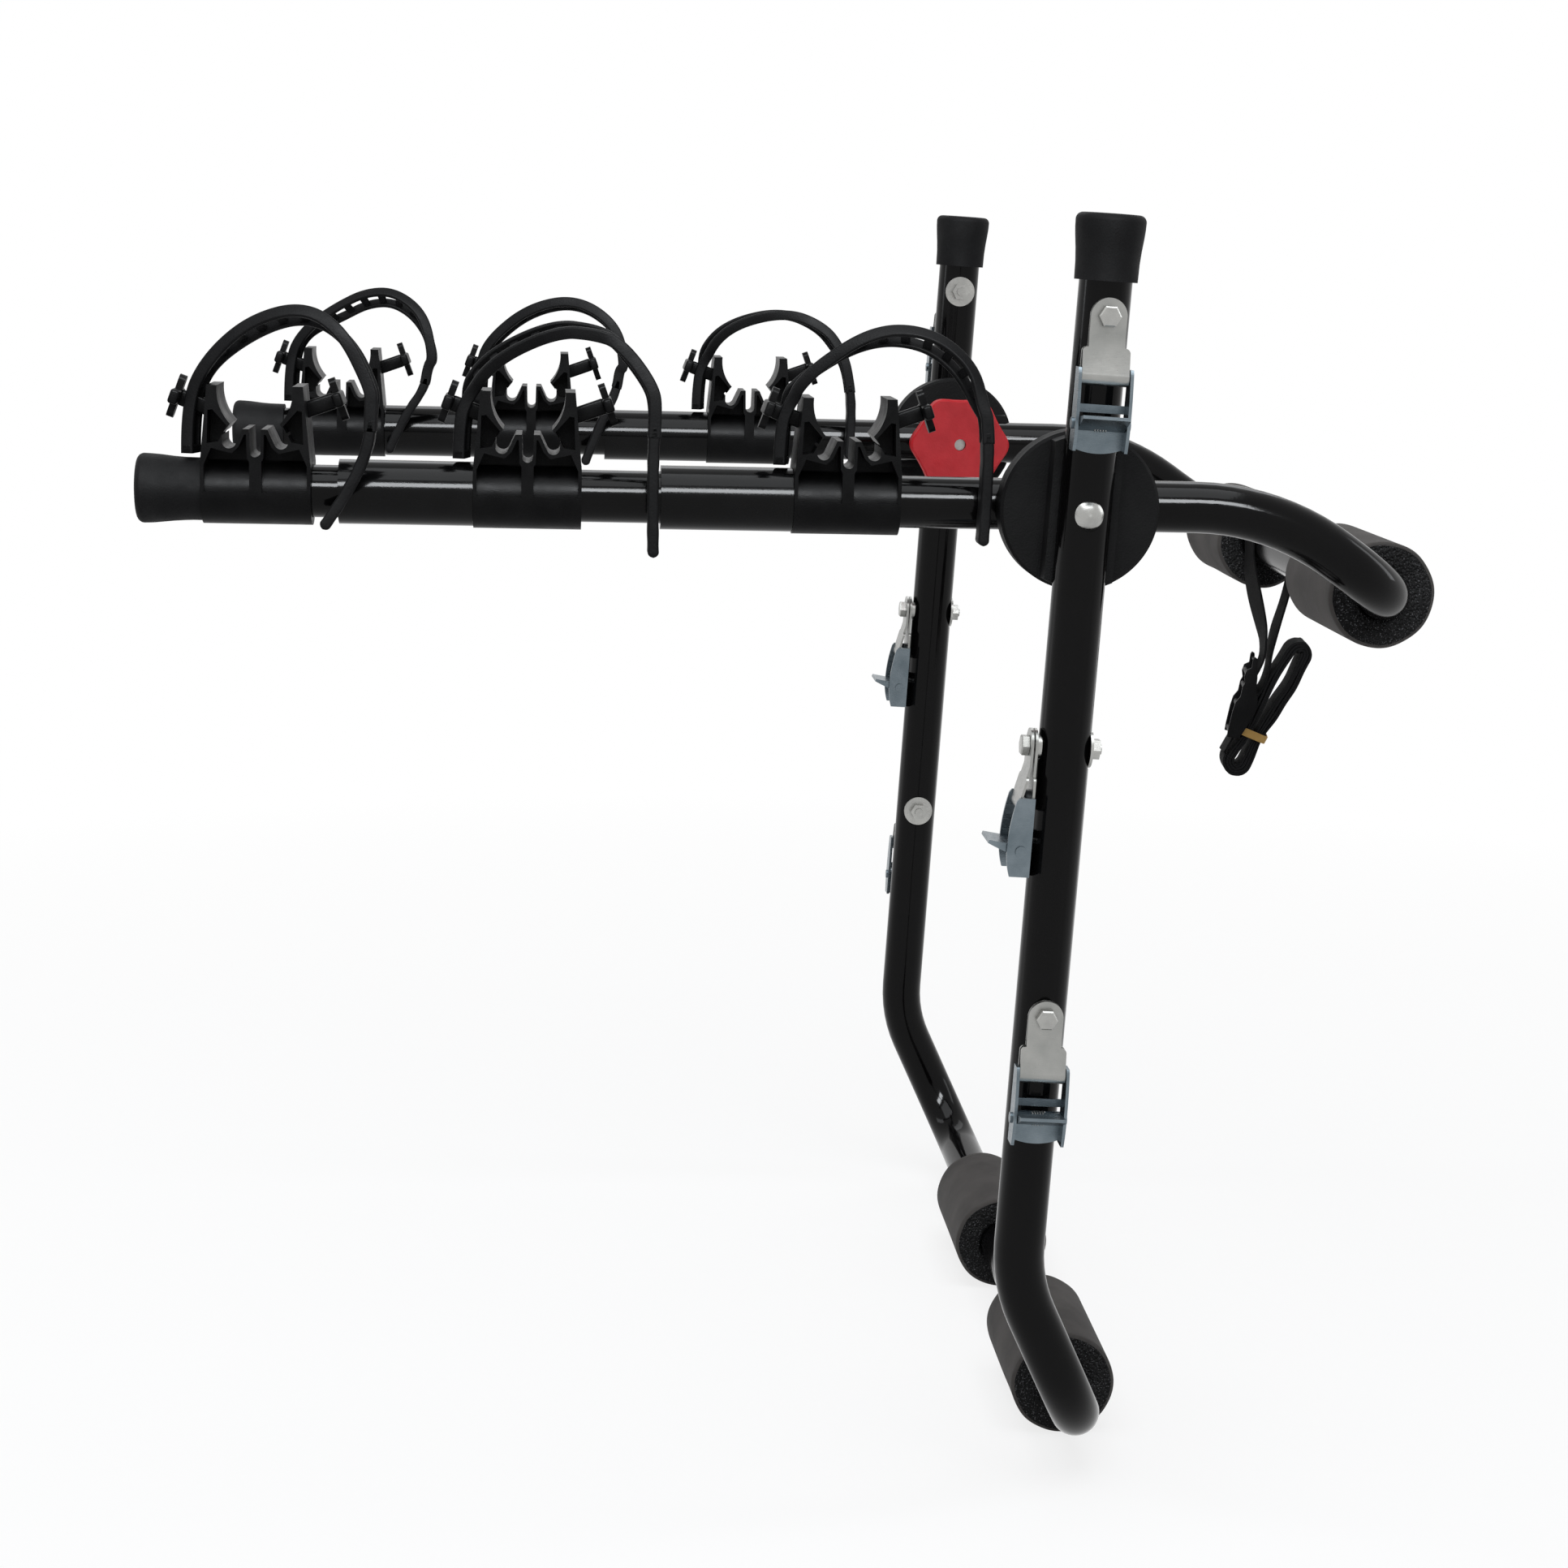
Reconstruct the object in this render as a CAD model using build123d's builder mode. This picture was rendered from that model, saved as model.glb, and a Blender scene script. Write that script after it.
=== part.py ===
from build123d import *
import math
import os

# Strap-on boot carrier for three bikes. Two bent tube frames cross at two toothed hubs.
# X runs fore and aft, with the bike arms towards -X and the car towards +X.
# Y runs across the car, Z is up, and the origin is the middle of the hub axis.

# Frame tubes
tube_d = 30.0
tube_wall = 2.0
tube_r = tube_d / 2
upright_span = 606.0        # between the axes of the two uprights
hub_depth = 24.5            # mating plane of a hub's discs to the axis of either tube
arm_span = upright_span - 4 * hub_depth
upright_lean = 2.6          # degrees that the uprights lean over the car at the top
upright_top = 160.0         # hub axis to the open end of an upright
upright_bend_at = 458.0     # hub axis to the bend near the foot
upright_bend_radius = 95.0
upright_corner_radius = 52.0
foot_bar_x = 26.0
foot_bar_z = -557.0
arm_end_x = -529.0
arm_bend_x = 121.0
arm_bend_radius = 150.0
arm_corner_radius = 45.0
boot_bar_x = 201.0
boot_bar_z = -55.0
flat_depth = 1.2            # depth that the tubes are pressed flat at a bolt

# Clearances
moulding_gap = 0.3          # moulded sleeves, cradles and foam on the tubes
bolt_gap = 0.05             # running fit on bolts and pins
seat_gap = 0.1              # tube in the saddle of a hub disc
face_gap = 0.2              # faces that slide on each other

# Rubber end caps
cap_length = 37.0
cap_end_wall = 7.0
cap_mouth_r = 17.8
cap_head_r = 19.8
cap_edge_radius = 4.0

# Foam pads
pad_d = 66.0
pad_length = 110.0
foot_pad_inset = (138.0, 208.0)  # from the axes of the near and the far upright
boot_pad_inset = (97.0, 109.0)   # from the axes of the near and the far arm

# Toothed hub discs
disc_r = 46.0
saddle_bite = 0.6           # depth of the tube in the plate of a disc
saddle_drop = 2.5           # rim of the saddle below the tube's axis
disc_plate = hub_depth - tube_r - seat_gap + saddle_bite
saddle_rise = hub_depth - saddle_drop - disc_plate
disc_rim_chamfer = 1.6
disc_gap = 0.3              # between the two discs of a hub
saddle_rib = 5.4
tooth_count = 36
tooth_height = 2.0
tooth_base = 3.9
tooth_in_r = 24.5
tooth_out_r = 42.5
saddle_tick_pitch = 17.0
saddle_tick = 1.2

# Hub bolts, washers and knobs
hub_bolt_r = 4.0
hub_head_r = 8.2
hub_head_rise = 4.6
hub_washer_r = 12.0
hub_washer_t = 1.6
knob_r = 32.6
knob_lobe = 2.6
knob_lobes = 6
knob_height = 19.0
knob_edge_radius = 5.0
knob_dish_depth = 4.0
knob_recess_r = 8.6
knob_nut_af = 13.0
knob_nut_t = 6.5
knob_nut_depth = 3.0        # floor of the recess below the dish
hub_bolt_tail = 3.0         # thread that stands past the nut

# Spacer sleeves and cradles on the arms, by the left end of each
sleeve_r = 18.4
sleeve_length = 76.0
cradle_length = 61.6
cradle_width = 38.0
cradle_sleeve_r = 17.0
cradle_low_r = 19.4
cradle_web = 3.0
near_cradle_x = (-498.8, -346.0, -162.9)
near_sleeve_x = (-422.2, -239.1)
far_cradle_x = (-487.0, -348.3, -186.8)
far_sleeve_x = (-424.5, -263.0)

# Strap hooks on the cradles
hook_post = 4.4
hook_post_height = 7.0
hook_bar_length = 25.0
hook_bar_t = 4.0
hook_bar_width = 7.6
hook_tilt = 20.0
hook_z = 45.0
hook_root = 25.0
hook_reach = 43.5

# Ladder straps
strap_width = 14.5
strap_rail = 3.2
strap_thickness = 7.2
strap_web = 3.0
strap_tab = 6.4
strap_window = 8.0
strap_eye = 11.0            # longer window that hangs on the hook
strap_pitch = 13.5
strap_clear = 0.45          # free end past the arm or sleeve beside it

# Cam buckles
buckle_at = (111.0, -135.0, -291.0)
bolt_r = 3.0
bolt_head_af = 11.0
bolt_head_t = 4.6
bolt_tail = 1.2
nut_t = 5.0
spacer_r = 7.0
spacer_t = 2.6
washer_r = 11.0
washer_t = 1.6
sheet = 1.5
hanger_narrow = 20.4
hanger_wide = 26.6
hanger_shoulder_y = -17.0
hanger_loop_y = -33.5
leaf_gap = 1.0
loop_bar_r = 3.1
cheek = 1.8
body_inner = 27.4
body_top_y = -28.5
body_bottom_y = -74.5
body_back = 16.4
body_depth_top = 10.6
body_depth = 14.0
pin_y = -59.5
pin_from_back = 6.0
pin_r = 2.0
rivet_r = 3.2
rivet_t = 1.2
strip_y = (-53.4, -48.8)
base_top_y = -56.4
lever_width = 26.6
lever_reach = 19.0
lever_angle = 14.0
cam_r = 3.7
cam_teeth = 5

# Webbing strap that hangs from the bar on the car side
webbing_width = 25.0
webbing_t = 1.5
webbing_inset = 79.0        # from the middle of the far boot pad
hank_top = (220.0, -128.0)
hank_bottom = (183.5, -204.5)
hank_turns = 4
hank_step = 2.0             # webbing and the air between two turns
hank_core = 2.4             # half the slit inside the first turn
hank_point_step = 1.0
webbing_left_leg = ((197.6, -122.0), (194.0, -138.0))
webbing_right_leg = ((203.0, -122.0), (197.5, -148.0))
buckle_foot = (173.0, -190.0)
buckle_width = 31.0
buckle_slots = (-20.0, -32.0)
webbing_lies = 40.0         # length over which the webbing lies on the hank
band_at = 19.0
band_air = 0.3
band_width = 8.0
band_t = 1.0
band_corner = 0.6

lean = math.radians(upright_lean)
up = Vector(math.sin(lean), 0, math.cos(lean))
seat = tube_r - flat_depth
mate_y = upright_span / 2 - hub_depth
foot_pad_y = (foot_pad_inset[0] - upright_span / 2, upright_span / 2 - foot_pad_inset[1])
boot_pad_y = (boot_pad_inset[0] - arm_span / 2, arm_span / 2 - boot_pad_inset[1])
webbing_y = boot_pad_y[1] - webbing_inset


def save(piece, label):
    piece.label = label
    export_step(piece, f"parts/{label}.step")
    print(label, "volume", round(piece.volume))


def on_upright(side, s):
    """A point on the axis of an upright, s above the hub axis."""
    return Vector(s * up.X, side * upright_span / 2, s * up.Z)


def on_arm(side, x):
    return Vector(x, side * arm_span / 2, 0)


def frame_on(origin, outward, along):
    """Local Z is outward, local Y runs along the tube."""
    return Plane(origin=origin, x_dir=along.cross(outward), z_dir=outward)


def outer_hub_frame(side):
    return frame_on(Vector(0, side * mate_y, 0), Vector(0, side, 0), up)


def inner_hub_frame(side):
    return frame_on(Vector(0, side * mate_y, 0), Vector(0, -side, 0), Vector(1, 0, 0))


def buckle_frames():
    """Top and bottom buckles face sideways, the middle ones face the bikes."""
    frames = {}
    for word, side in (("near", -1), ("far", 1)):
        sideways = Vector(0, side, 0)
        rearward = Vector(-up.Z, 0, up.X)
        for height, facing, s in zip(("top", "middle", "bottom"), (sideways, rearward, sideways), buckle_at):
            frames[f"{height}_{word}"] = frame_on(on_upright(side, s), facing, up)
    return frames


def round_corners(points):
    """Tangent arcs as large as the runs of a route allow."""
    radii = []
    for before, here, after in zip(points, points[1:], points[2:]):
        a, b = Vector(*here) - Vector(*before), Vector(*after) - Vector(*here)
        half_turn = math.radians(a.get_angle(b)) / 2
        radii.append(0.45 * min(a.length, b.length) / math.tan(half_turn))
    return radii


# Tube frames


def tube_with_holes(points, radii, cross_bores, seats):
    """A bent tube with bolt holes and pressed flats; each hole is a frame on the axis."""
    with BuildPart() as frame:
        with BuildLine() as path:
            FilletPolyline(*points, radius=radii)
        with BuildSketch(Plane(path.line @ 0, z_dir=path.line % 0)):
            Circle(tube_r)
            Circle(tube_r - tube_wall, mode=Mode.SUBTRACT)
        sweep()
        for place, r in cross_bores:
            with BuildSketch(place):
                Circle(r)
            extrude(amount=tube_d, both=True, mode=Mode.SUBTRACT)
        for place, r in seats:
            with BuildSketch(place.offset(seat)):
                Circle(r)
            extrude(amount=tube_r, mode=Mode.SUBTRACT)
    return frame.part


def turned_round(plane):
    """The same place seen from the other side of the tube."""
    return Plane(origin=plane.origin, x_dir=plane.x_dir, z_dir=plane.z_dir * -1)


def make_upright_frame():
    half = upright_span / 2
    top = on_upright(-1, upright_top)
    bend = on_upright(-1, -upright_bend_at)
    corner = Vector(foot_bar_x, -half, foot_bar_z)
    near_side = [top, bend, corner]
    far_side = [Vector(p.X, -p.Y, p.Z) for p in reversed(near_side)]
    turns = [upright_bend_radius, upright_corner_radius]
    bores, seats = [], []
    for side in (-1, 1):
        hub = frame_on(on_upright(side, 0), Vector(0, side, 0), up)
        bores.append((hub, hub_bolt_r + bolt_gap))
        seats.append((hub, hub_head_r + 1))
    for place in buckle_frames().values():
        bores.append((place, bolt_r + bolt_gap))
        seats.append((place, spacer_r + 1))
        seats.append((turned_round(place), washer_r + 1))
    return tube_with_holes(near_side + far_side, turns + turns[::-1], bores, seats)


def make_arm_frame():
    half = arm_span / 2
    near_side = [(arm_end_x, -half, 0), (arm_bend_x, -half, 0), (boot_bar_x, -half, boot_bar_z)]
    far_side = [(x, -y, z) for x, y, z in reversed(near_side)]
    turns = [arm_bend_radius, arm_corner_radius]
    bores, seats = [], []
    for side in (-1, 1):
        hub = frame_on(on_arm(side, 0), Vector(0, -side, 0), Vector(1, 0, 0))
        bores.append((hub, hub_bolt_r + bolt_gap))
        seats.append((hub, hub_washer_r + 1))
    return tube_with_holes(near_side + far_side, turns + turns[::-1], bores, seats)


# Rubber caps and foam pads


def make_cap():
    """Cap along local Z, its tube ending at Z zero."""
    mouth = cap_end_wall - cap_length
    inner = tube_r + bolt_gap
    with BuildPart() as cap:
        with BuildSketch(Plane.XZ):
            with BuildLine():
                Polyline((0, 0), (inner, 0), (inner, mouth), (cap_mouth_r, mouth))
                Spline(
                    (cap_mouth_r, mouth),
                    (cap_mouth_r + 0.5, mouth / 2),
                    (cap_head_r, cap_end_wall - cap_edge_radius),
                    tangents=((0, 1), (0, 1)),
                )
                RadiusArc(
                    (cap_head_r, cap_end_wall - cap_edge_radius),
                    (cap_head_r - cap_edge_radius, cap_end_wall),
                    -cap_edge_radius,
                )
                Polyline((cap_head_r - cap_edge_radius, cap_end_wall), (0, cap_end_wall), (0, 0))
            make_face()
        revolve(axis=Axis.Z)
    return cap.part


def make_pad():
    """Foam pad round a bar along Y, centred on it."""
    with BuildPart() as pad:
        with BuildSketch(Plane.XZ):
            Circle(pad_d / 2)
            Circle(tube_r + moulding_gap, mode=Mode.SUBTRACT)
        extrude(amount=pad_length / 2, both=True)
    return pad.part


# Hubs


def make_disc():
    """Toothed disc: teeth towards Z zero, saddle for a tube along Y at the top."""
    face = disc_gap / 2
    root = face + tooth_height + 0.4
    saddle_top = disc_plate + saddle_rise
    rib_x = tube_r + saddle_rib / 2
    with BuildPart() as tooth:
        with BuildSketch(Plane.YZ.offset(tooth_in_r - 1)):
            Polygon((-tooth_base / 2, root), (0, root - tooth_height), (tooth_base / 2, root), align=None)
        extrude(amount=tooth_out_r - tooth_in_r + 2)
    with BuildPart() as disc:
        with BuildSketch(Plane.XY.offset(face)):
            Circle(disc_r)
        extrude(amount=disc_plate - face)
        chamfer(disc.edges().group_by(Axis.Z)[-1], disc_rim_chamfer)
        with BuildSketch(Plane.XY.offset(disc_plate)):
            Circle(disc_r - disc_rim_chamfer)
            Rectangle(2 * tube_r + 2 * saddle_rib, 2 * disc_r, mode=Mode.INTERSECT)
        extrude(amount=saddle_rise, taper=3)
        with BuildSketch(Plane.XZ.offset(-disc_r)):
            with Locations((0, hub_depth)):
                Circle(tube_r + seat_gap)
            with Locations((0, hub_depth + tube_r)):
                Rectangle(2 * tube_r + 2 * seat_gap, 2 * tube_r)
        extrude(amount=2 * disc_r, mode=Mode.SUBTRACT)
        with BuildSketch(Plane.XY.offset(face)):
            Circle(tooth_out_r + 0.5)
            Circle(tooth_in_r - 0.5, mode=Mode.SUBTRACT)
        extrude(amount=root - face, mode=Mode.SUBTRACT)
        with PolarLocations(0, tooth_count):
            add(tooth.part)
        with Locations((0, 0, 0)):
            Cylinder(hub_bolt_r + bolt_gap, 4 * disc_plate, mode=Mode.SUBTRACT)
        tick_rows = int(disc_r // saddle_tick_pitch)
        for sx in (-1, 1):
            for i in range(-tick_rows, tick_rows + 1):
                with Locations((sx * (rib_x - saddle_rib / 2 + 0.9), i * saddle_tick_pitch, saddle_top - 0.2)):
                    Cylinder(saddle_tick / 2, saddle_tick)
    return disc.part


def make_hub_bolt():
    """Carriage bolt along local Z, with Z zero at the mating plane of the discs."""
    head = hub_depth + seat
    nut_top = face_gap + knob_height - knob_dish_depth - knob_nut_depth
    tail = head + hub_washer_t + nut_top + hub_bolt_tail
    sphere_r = (hub_head_r**2 + hub_head_rise**2) / (2 * hub_head_rise)
    with BuildPart() as bolt:
        with BuildSketch(Plane.XZ):
            with BuildLine():
                Polyline((0, head + hub_head_rise), (0, -tail), (hub_bolt_r, -tail))
                Polyline((hub_bolt_r, -tail), (hub_bolt_r, head), (hub_head_r, head))
                RadiusArc((hub_head_r, head), (0, head + hub_head_rise), -sphere_r)
            make_face()
        revolve(axis=Axis.Z)
    return bolt.part


def make_ring(outer_r, inner_r, thickness):
    with BuildPart() as ring:
        with BuildSketch():
            Circle(outer_r)
            Circle(inner_r, mode=Mode.SUBTRACT)
        extrude(amount=thickness)
    return ring.part


def make_hex_nut(across_flats, bore_r, thickness):
    with BuildPart() as nut:
        with BuildSketch():
            RegularPolygon(across_flats / 2, 6, major_radius=False)
            Circle(bore_r, mode=Mode.SUBTRACT)
        extrude(amount=thickness)
        outer_edges = nut.faces().sort_by(Axis.Z)[-1].outer_wire().edges()
        chamfer(outer_edges, 0.6)
    return nut.part


def make_knob():
    """Lobed knob from Z zero upwards, with a hexagon pocket for its nut."""
    dish_floor = knob_height - knob_dish_depth
    nut_top = dish_floor - knob_nut_depth
    points = []
    for i in range(4 * knob_lobes):
        turn = 2 * math.pi * i / (4 * knob_lobes)
        r = knob_r + knob_lobe * math.cos(knob_lobes * turn)
        points.append((r * math.cos(turn), r * math.sin(turn)))
    dish_r = (knob_r**2 * 0.36 + knob_dish_depth**2) / (2 * knob_dish_depth)
    with BuildPart() as knob:
        with BuildSketch():
            with BuildLine():
                Spline(*points, periodic=True)
            make_face()
        extrude(amount=knob_height)
        fillet(knob.edges().group_by(Axis.Z)[-1], knob_edge_radius)
        chamfer(knob.edges().group_by(Axis.Z)[0], 1.2)
        with Locations((0, 0, dish_floor + dish_r)):
            Sphere(dish_r, mode=Mode.SUBTRACT)
        with BuildSketch(Plane.XY.offset(nut_top)):
            Circle(knob_recess_r)
        extrude(amount=knob_height, mode=Mode.SUBTRACT)
        with BuildSketch(Plane.XY.offset(nut_top - knob_nut_t)):
            RegularPolygon(knob_nut_af / 2, 6, major_radius=False)
        extrude(amount=knob_nut_t, mode=Mode.SUBTRACT)
        with Locations((0, 0, 0)):
            Cylinder(hub_bolt_r + moulding_gap, 3 * knob_height, mode=Mode.SUBTRACT)
    return knob.part


# Spacer sleeves and cradles


def make_sleeve():
    """Plastic spacer tube that starts at the origin and runs along X."""
    with BuildPart() as sleeve:
        with BuildSketch(Plane.YZ):
            Circle(sleeve_r)
            Circle(tube_r + moulding_gap, mode=Mode.SUBTRACT)
        extrude(amount=sleeve_length)
    return sleeve.part


def cradle_outline(half):
    """Half outline of the saddle: ear, tube notch, hump and centre slot."""
    with BuildLine() as line:
        Polyline((0, 0), (-half, 0), (-half, 16), (-26.8, 59.8), (-21.0, 59.8))
        ThreePointArc((-21.0, 59.8), (-19.2, 47.0), (-13.8, 38.5))
        Polyline((-13.8, 38.5), (-18.4, 32.6), (-18.4, 28.6))
        ThreePointArc((-18.4, 28.6), (-14.6, 24.6), (-11.0, 26.8))
        Polyline((-11.0, 26.8), (-6.9, 35.6), (-3.4, 35.6), (-3.1, 23.0))
        ThreePointArc((-3.1, 23.0), (-2.2, 20.8), (0, 19.9))
        Line((0, 19.9), (0, 0))
    return line.edges()


def make_cradle():
    """Moulded cradle round an arm along X, centred on the origin."""
    half = cradle_length / 2
    outline = cradle_outline(half)
    tilt = math.radians(hook_tilt)
    hook_length = (hook_reach - hook_root) / math.cos(tilt)
    ear_pocket = ((-26.2, 46.0), (-23.6, 46.4), (-15.6, 37.4), (-20.4, 28.4), (-26.9, 27.4))
    low_pocket = (
        (-half + 2, 0),
        (-half + 2, 15.2),
        (-24.6, 24.8),
        (-19.0, 23.4),
        (-13.0, 22.0),
        (-9.2, 25.6),
        (-6.0, 32.6),
        (-5.0, 32.6),
        (-4.6, 19.4),
        (-3.4, 17.2),
        (-3.4, 0),
    )
    with BuildPart() as cradle:
        with BuildSketch(Plane.XZ):
            make_face(outline)
            mirror(about=Plane.YZ)
        extrude(amount=cradle_width / 2, both=True)
        with BuildSketch(Plane.XZ):
            Polygon(*ear_pocket, align=None)
            Polygon(*low_pocket, align=None)
            mirror(about=Plane.YZ)
        extrude(amount=cradle_width, both=True, mode=Mode.SUBTRACT)
        with BuildSketch(Plane.XZ):
            make_face(outline)
            mirror(about=Plane.YZ)
        extrude(amount=cradle_web / 2, both=True)
        with BuildSketch(Plane.YZ.offset(-half)):
            Circle(cradle_sleeve_r)
        extrude(amount=cradle_length)
        with BuildSketch(Plane.YZ.offset(-half)):
            Circle(cradle_low_r)
            with Locations((0, cradle_low_r / 2)):
                Rectangle(2 * cradle_low_r, cradle_low_r, mode=Mode.SUBTRACT)
        extrude(amount=cradle_length)
        for sx in (-1, 1):
            outward = (sx * math.cos(tilt), 0, math.sin(tilt))
            hook = Plane(origin=(sx * hook_root, 0, hook_z), x_dir=(0, 1, 0), z_dir=outward)
            with BuildSketch(hook):
                Rectangle(hook_post, hook_post_height)
            extrude(amount=hook_length)
            with BuildSketch(hook.offset(hook_length)):
                RectangleRounded(hook_bar_width, hook_bar_length, 3)
            extrude(amount=hook_bar_t)
        with BuildSketch(Plane.YZ.offset(-half - 1)):
            Circle(tube_r + moulding_gap)
        extrude(amount=cradle_length + 2, mode=Mode.SUBTRACT)
    return cradle.part


# Each ladder strap in X and Z from the cradle's middle: its laddered part, then the free end that
# hangs beside the arm, and the radius that the free end has to clear
strap_start = ((-38.5, 20.5), (-38.5, 56.0))
strap_routes = {
    "near_1": (
        ((-19, 80), (8, 97), (36, 97), (60, 78), (69, 44)),
        ((66, 50), (62, 14), (48, -10), (37, -25)),
        sleeve_r,
    ),
    "near_2": (
        ((-21, 77), (6, 93), (34, 93), (61, 79), (73, 52)),
        ((70, 56), (71, 22), (71, -36)),
        sleeve_r,
    ),
    "near_3": (
        ((-18, 80), (8, 96), (38, 97), (65, 82), (80, 52)),
        ((78, 56), (80, 24), (79.5, -26)),
        tube_r,
    ),
    "far_1": (
        ((-19, 80), (8, 98), (34, 98), (54, 81), (63, 52)),
        ((60, 56), (58, 26), (44, 4), (36, -19)),
        sleeve_r,
    ),
    "far_2": (
        ((-19, 79), (8, 96), (35, 96), (59, 80), (69, 54)),
        ((66, 58), (62, 26), (50, 2), (43, -24)),
        sleeve_r,
    ),
    "far_3": (
        ((-19, 79), (8, 92), (35, 92), (57, 77), (69, 50)),
        ((66, 54), (72, 26), (74, -12)),
        sleeve_r,
    ),
}


def strap_section():
    rail_y = (strap_width - strap_rail) / 2
    Rectangle(strap_width, strap_web)
    with Locations((-rail_y, 0), (rail_y, 0)):
        Rectangle(strap_rail, strap_thickness)


def across(path):
    return Plane(path.line @ 0, x_dir=(0, 1, 0), z_dir=path.line % 0)


def strap_route(points):
    return [(x, 0, z) for x, z in points]


def make_ladder(arch):
    """The laddered part in the XZ plane, with the eye that hangs on the hook."""
    start = strap_start[0]
    eye_z = hook_z + (-start[0] - hook_root) * math.tan(math.radians(hook_tilt))
    points = strap_route(strap_start + arch)
    with BuildPart() as ladder:
        with BuildLine() as path:
            FilletPolyline(*points, radius=round_corners(points))
        with BuildSketch(across(path)):
            strap_section()
        sweep()
        length = path.wire().length
        eye = eye_z - start[1]
        for i in range(int((length - eye - strap_window) // strap_pitch) + 1):
            t = (eye + i * strap_pitch) / length
            opening = strap_eye if i == 0 else strap_window
            spot = Plane(path.line @ t, x_dir=(0, 1, 0), z_dir=path.line % t)
            with BuildSketch(spot.offset(-opening / 2)):
                Rectangle(strap_width - 2 * strap_rail, strap_thickness)
            extrude(amount=opening, mode=Mode.SUBTRACT)
    return ladder.part


def make_strap(arch, tail, clear_of):
    """Ladder strap of a cradle at the origin, its free end on the -Y side of the arm."""
    start_x = strap_start[0][0]
    aside = clear_of + strap_clear + strap_width / 2
    swing = math.degrees(math.asin(aside / (arch[-1][0] - start_x)))
    points = strap_route(tail)
    turn = Plane(origin=(start_x, 0, 0), x_dir=Vector(1, 0, 0).rotate(Axis.Z, -swing), z_dir=(0, 0, 1))
    ladder = make_ladder(arch).moved(Location((-start_x, 0, 0)))
    with BuildPart() as strap:
        add(ladder.moved(turn.location))
        with BuildLine() as path:
            FilletPolyline(*[(x, -aside, z) for x, _, z in points], radius=round_corners(points))
        with BuildSketch(across(path)):
            Rectangle(strap_width, strap_tab)
        sweep()
        end = path.line @ 1
        with BuildSketch(Plane(origin=(0, -aside, 0), x_dir=(1, 0, 0), z_dir=(0, -1, 0))):
            with Locations((end.X, end.Z)):
                Circle(strap_tab / 2)
        extrude(amount=strap_width / 2, both=True)
    return strap.part


# Cam buckles, in the frame of their bolt: Z outward, Y up the upright


def loop_z():
    return leaf_back() + sheet + bolt_gap * 2 + loop_bar_r


def leaf_back():
    return seat + spacer_t + face_gap


def leaf_front():
    return leaf_back() + 2 * sheet + leaf_gap


def make_hanger():
    """Folded strip: two leaves on the bolt and a loop round the bar of the buckle."""
    loop_in = loop_bar_r + 2 * bolt_gap
    loop_out = loop_in + sheet
    back, front = leaf_back(), leaf_front()
    top = hanger_narrow / 2
    with BuildPart() as hanger:
        with BuildSketch(Plane.YZ.offset(-hanger_wide / 2)):
            with Locations((hanger_loop_y, loop_z())):
                Circle(loop_out)
            Polygon(
                (top, back),
                (hanger_loop_y, back),
                (hanger_loop_y, loop_z() + loop_out),
                (-bolt_head_af, front),
                (top, front),
                align=None,
            )
            with Locations((hanger_loop_y, loop_z())):
                Circle(loop_in, mode=Mode.SUBTRACT)
            Polygon(
                (top, back + sheet),
                (hanger_loop_y, back + sheet),
                (hanger_loop_y, loop_z() + loop_in),
                (-bolt_head_af, front - sheet),
                (top, front - sheet),
                align=None,
                mode=Mode.SUBTRACT,
            )
        extrude(amount=hanger_wide)
        with BuildSketch():
            Circle(top)
            with Locations((0, hanger_shoulder_y / 2)):
                Rectangle(hanger_narrow, -hanger_shoulder_y)
            low = hanger_loop_y - loop_out
            with Locations((0, (hanger_shoulder_y + low) / 2)):
                wide = Rectangle(hanger_wide, hanger_shoulder_y - low)
            fillet(wide.vertices().group_by(Axis.Y)[-1], 2.8)
            Circle(bolt_r + bolt_gap, mode=Mode.SUBTRACT)
        extrude(amount=2 * front, mode=Mode.INTERSECT)
    return hanger.part


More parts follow.
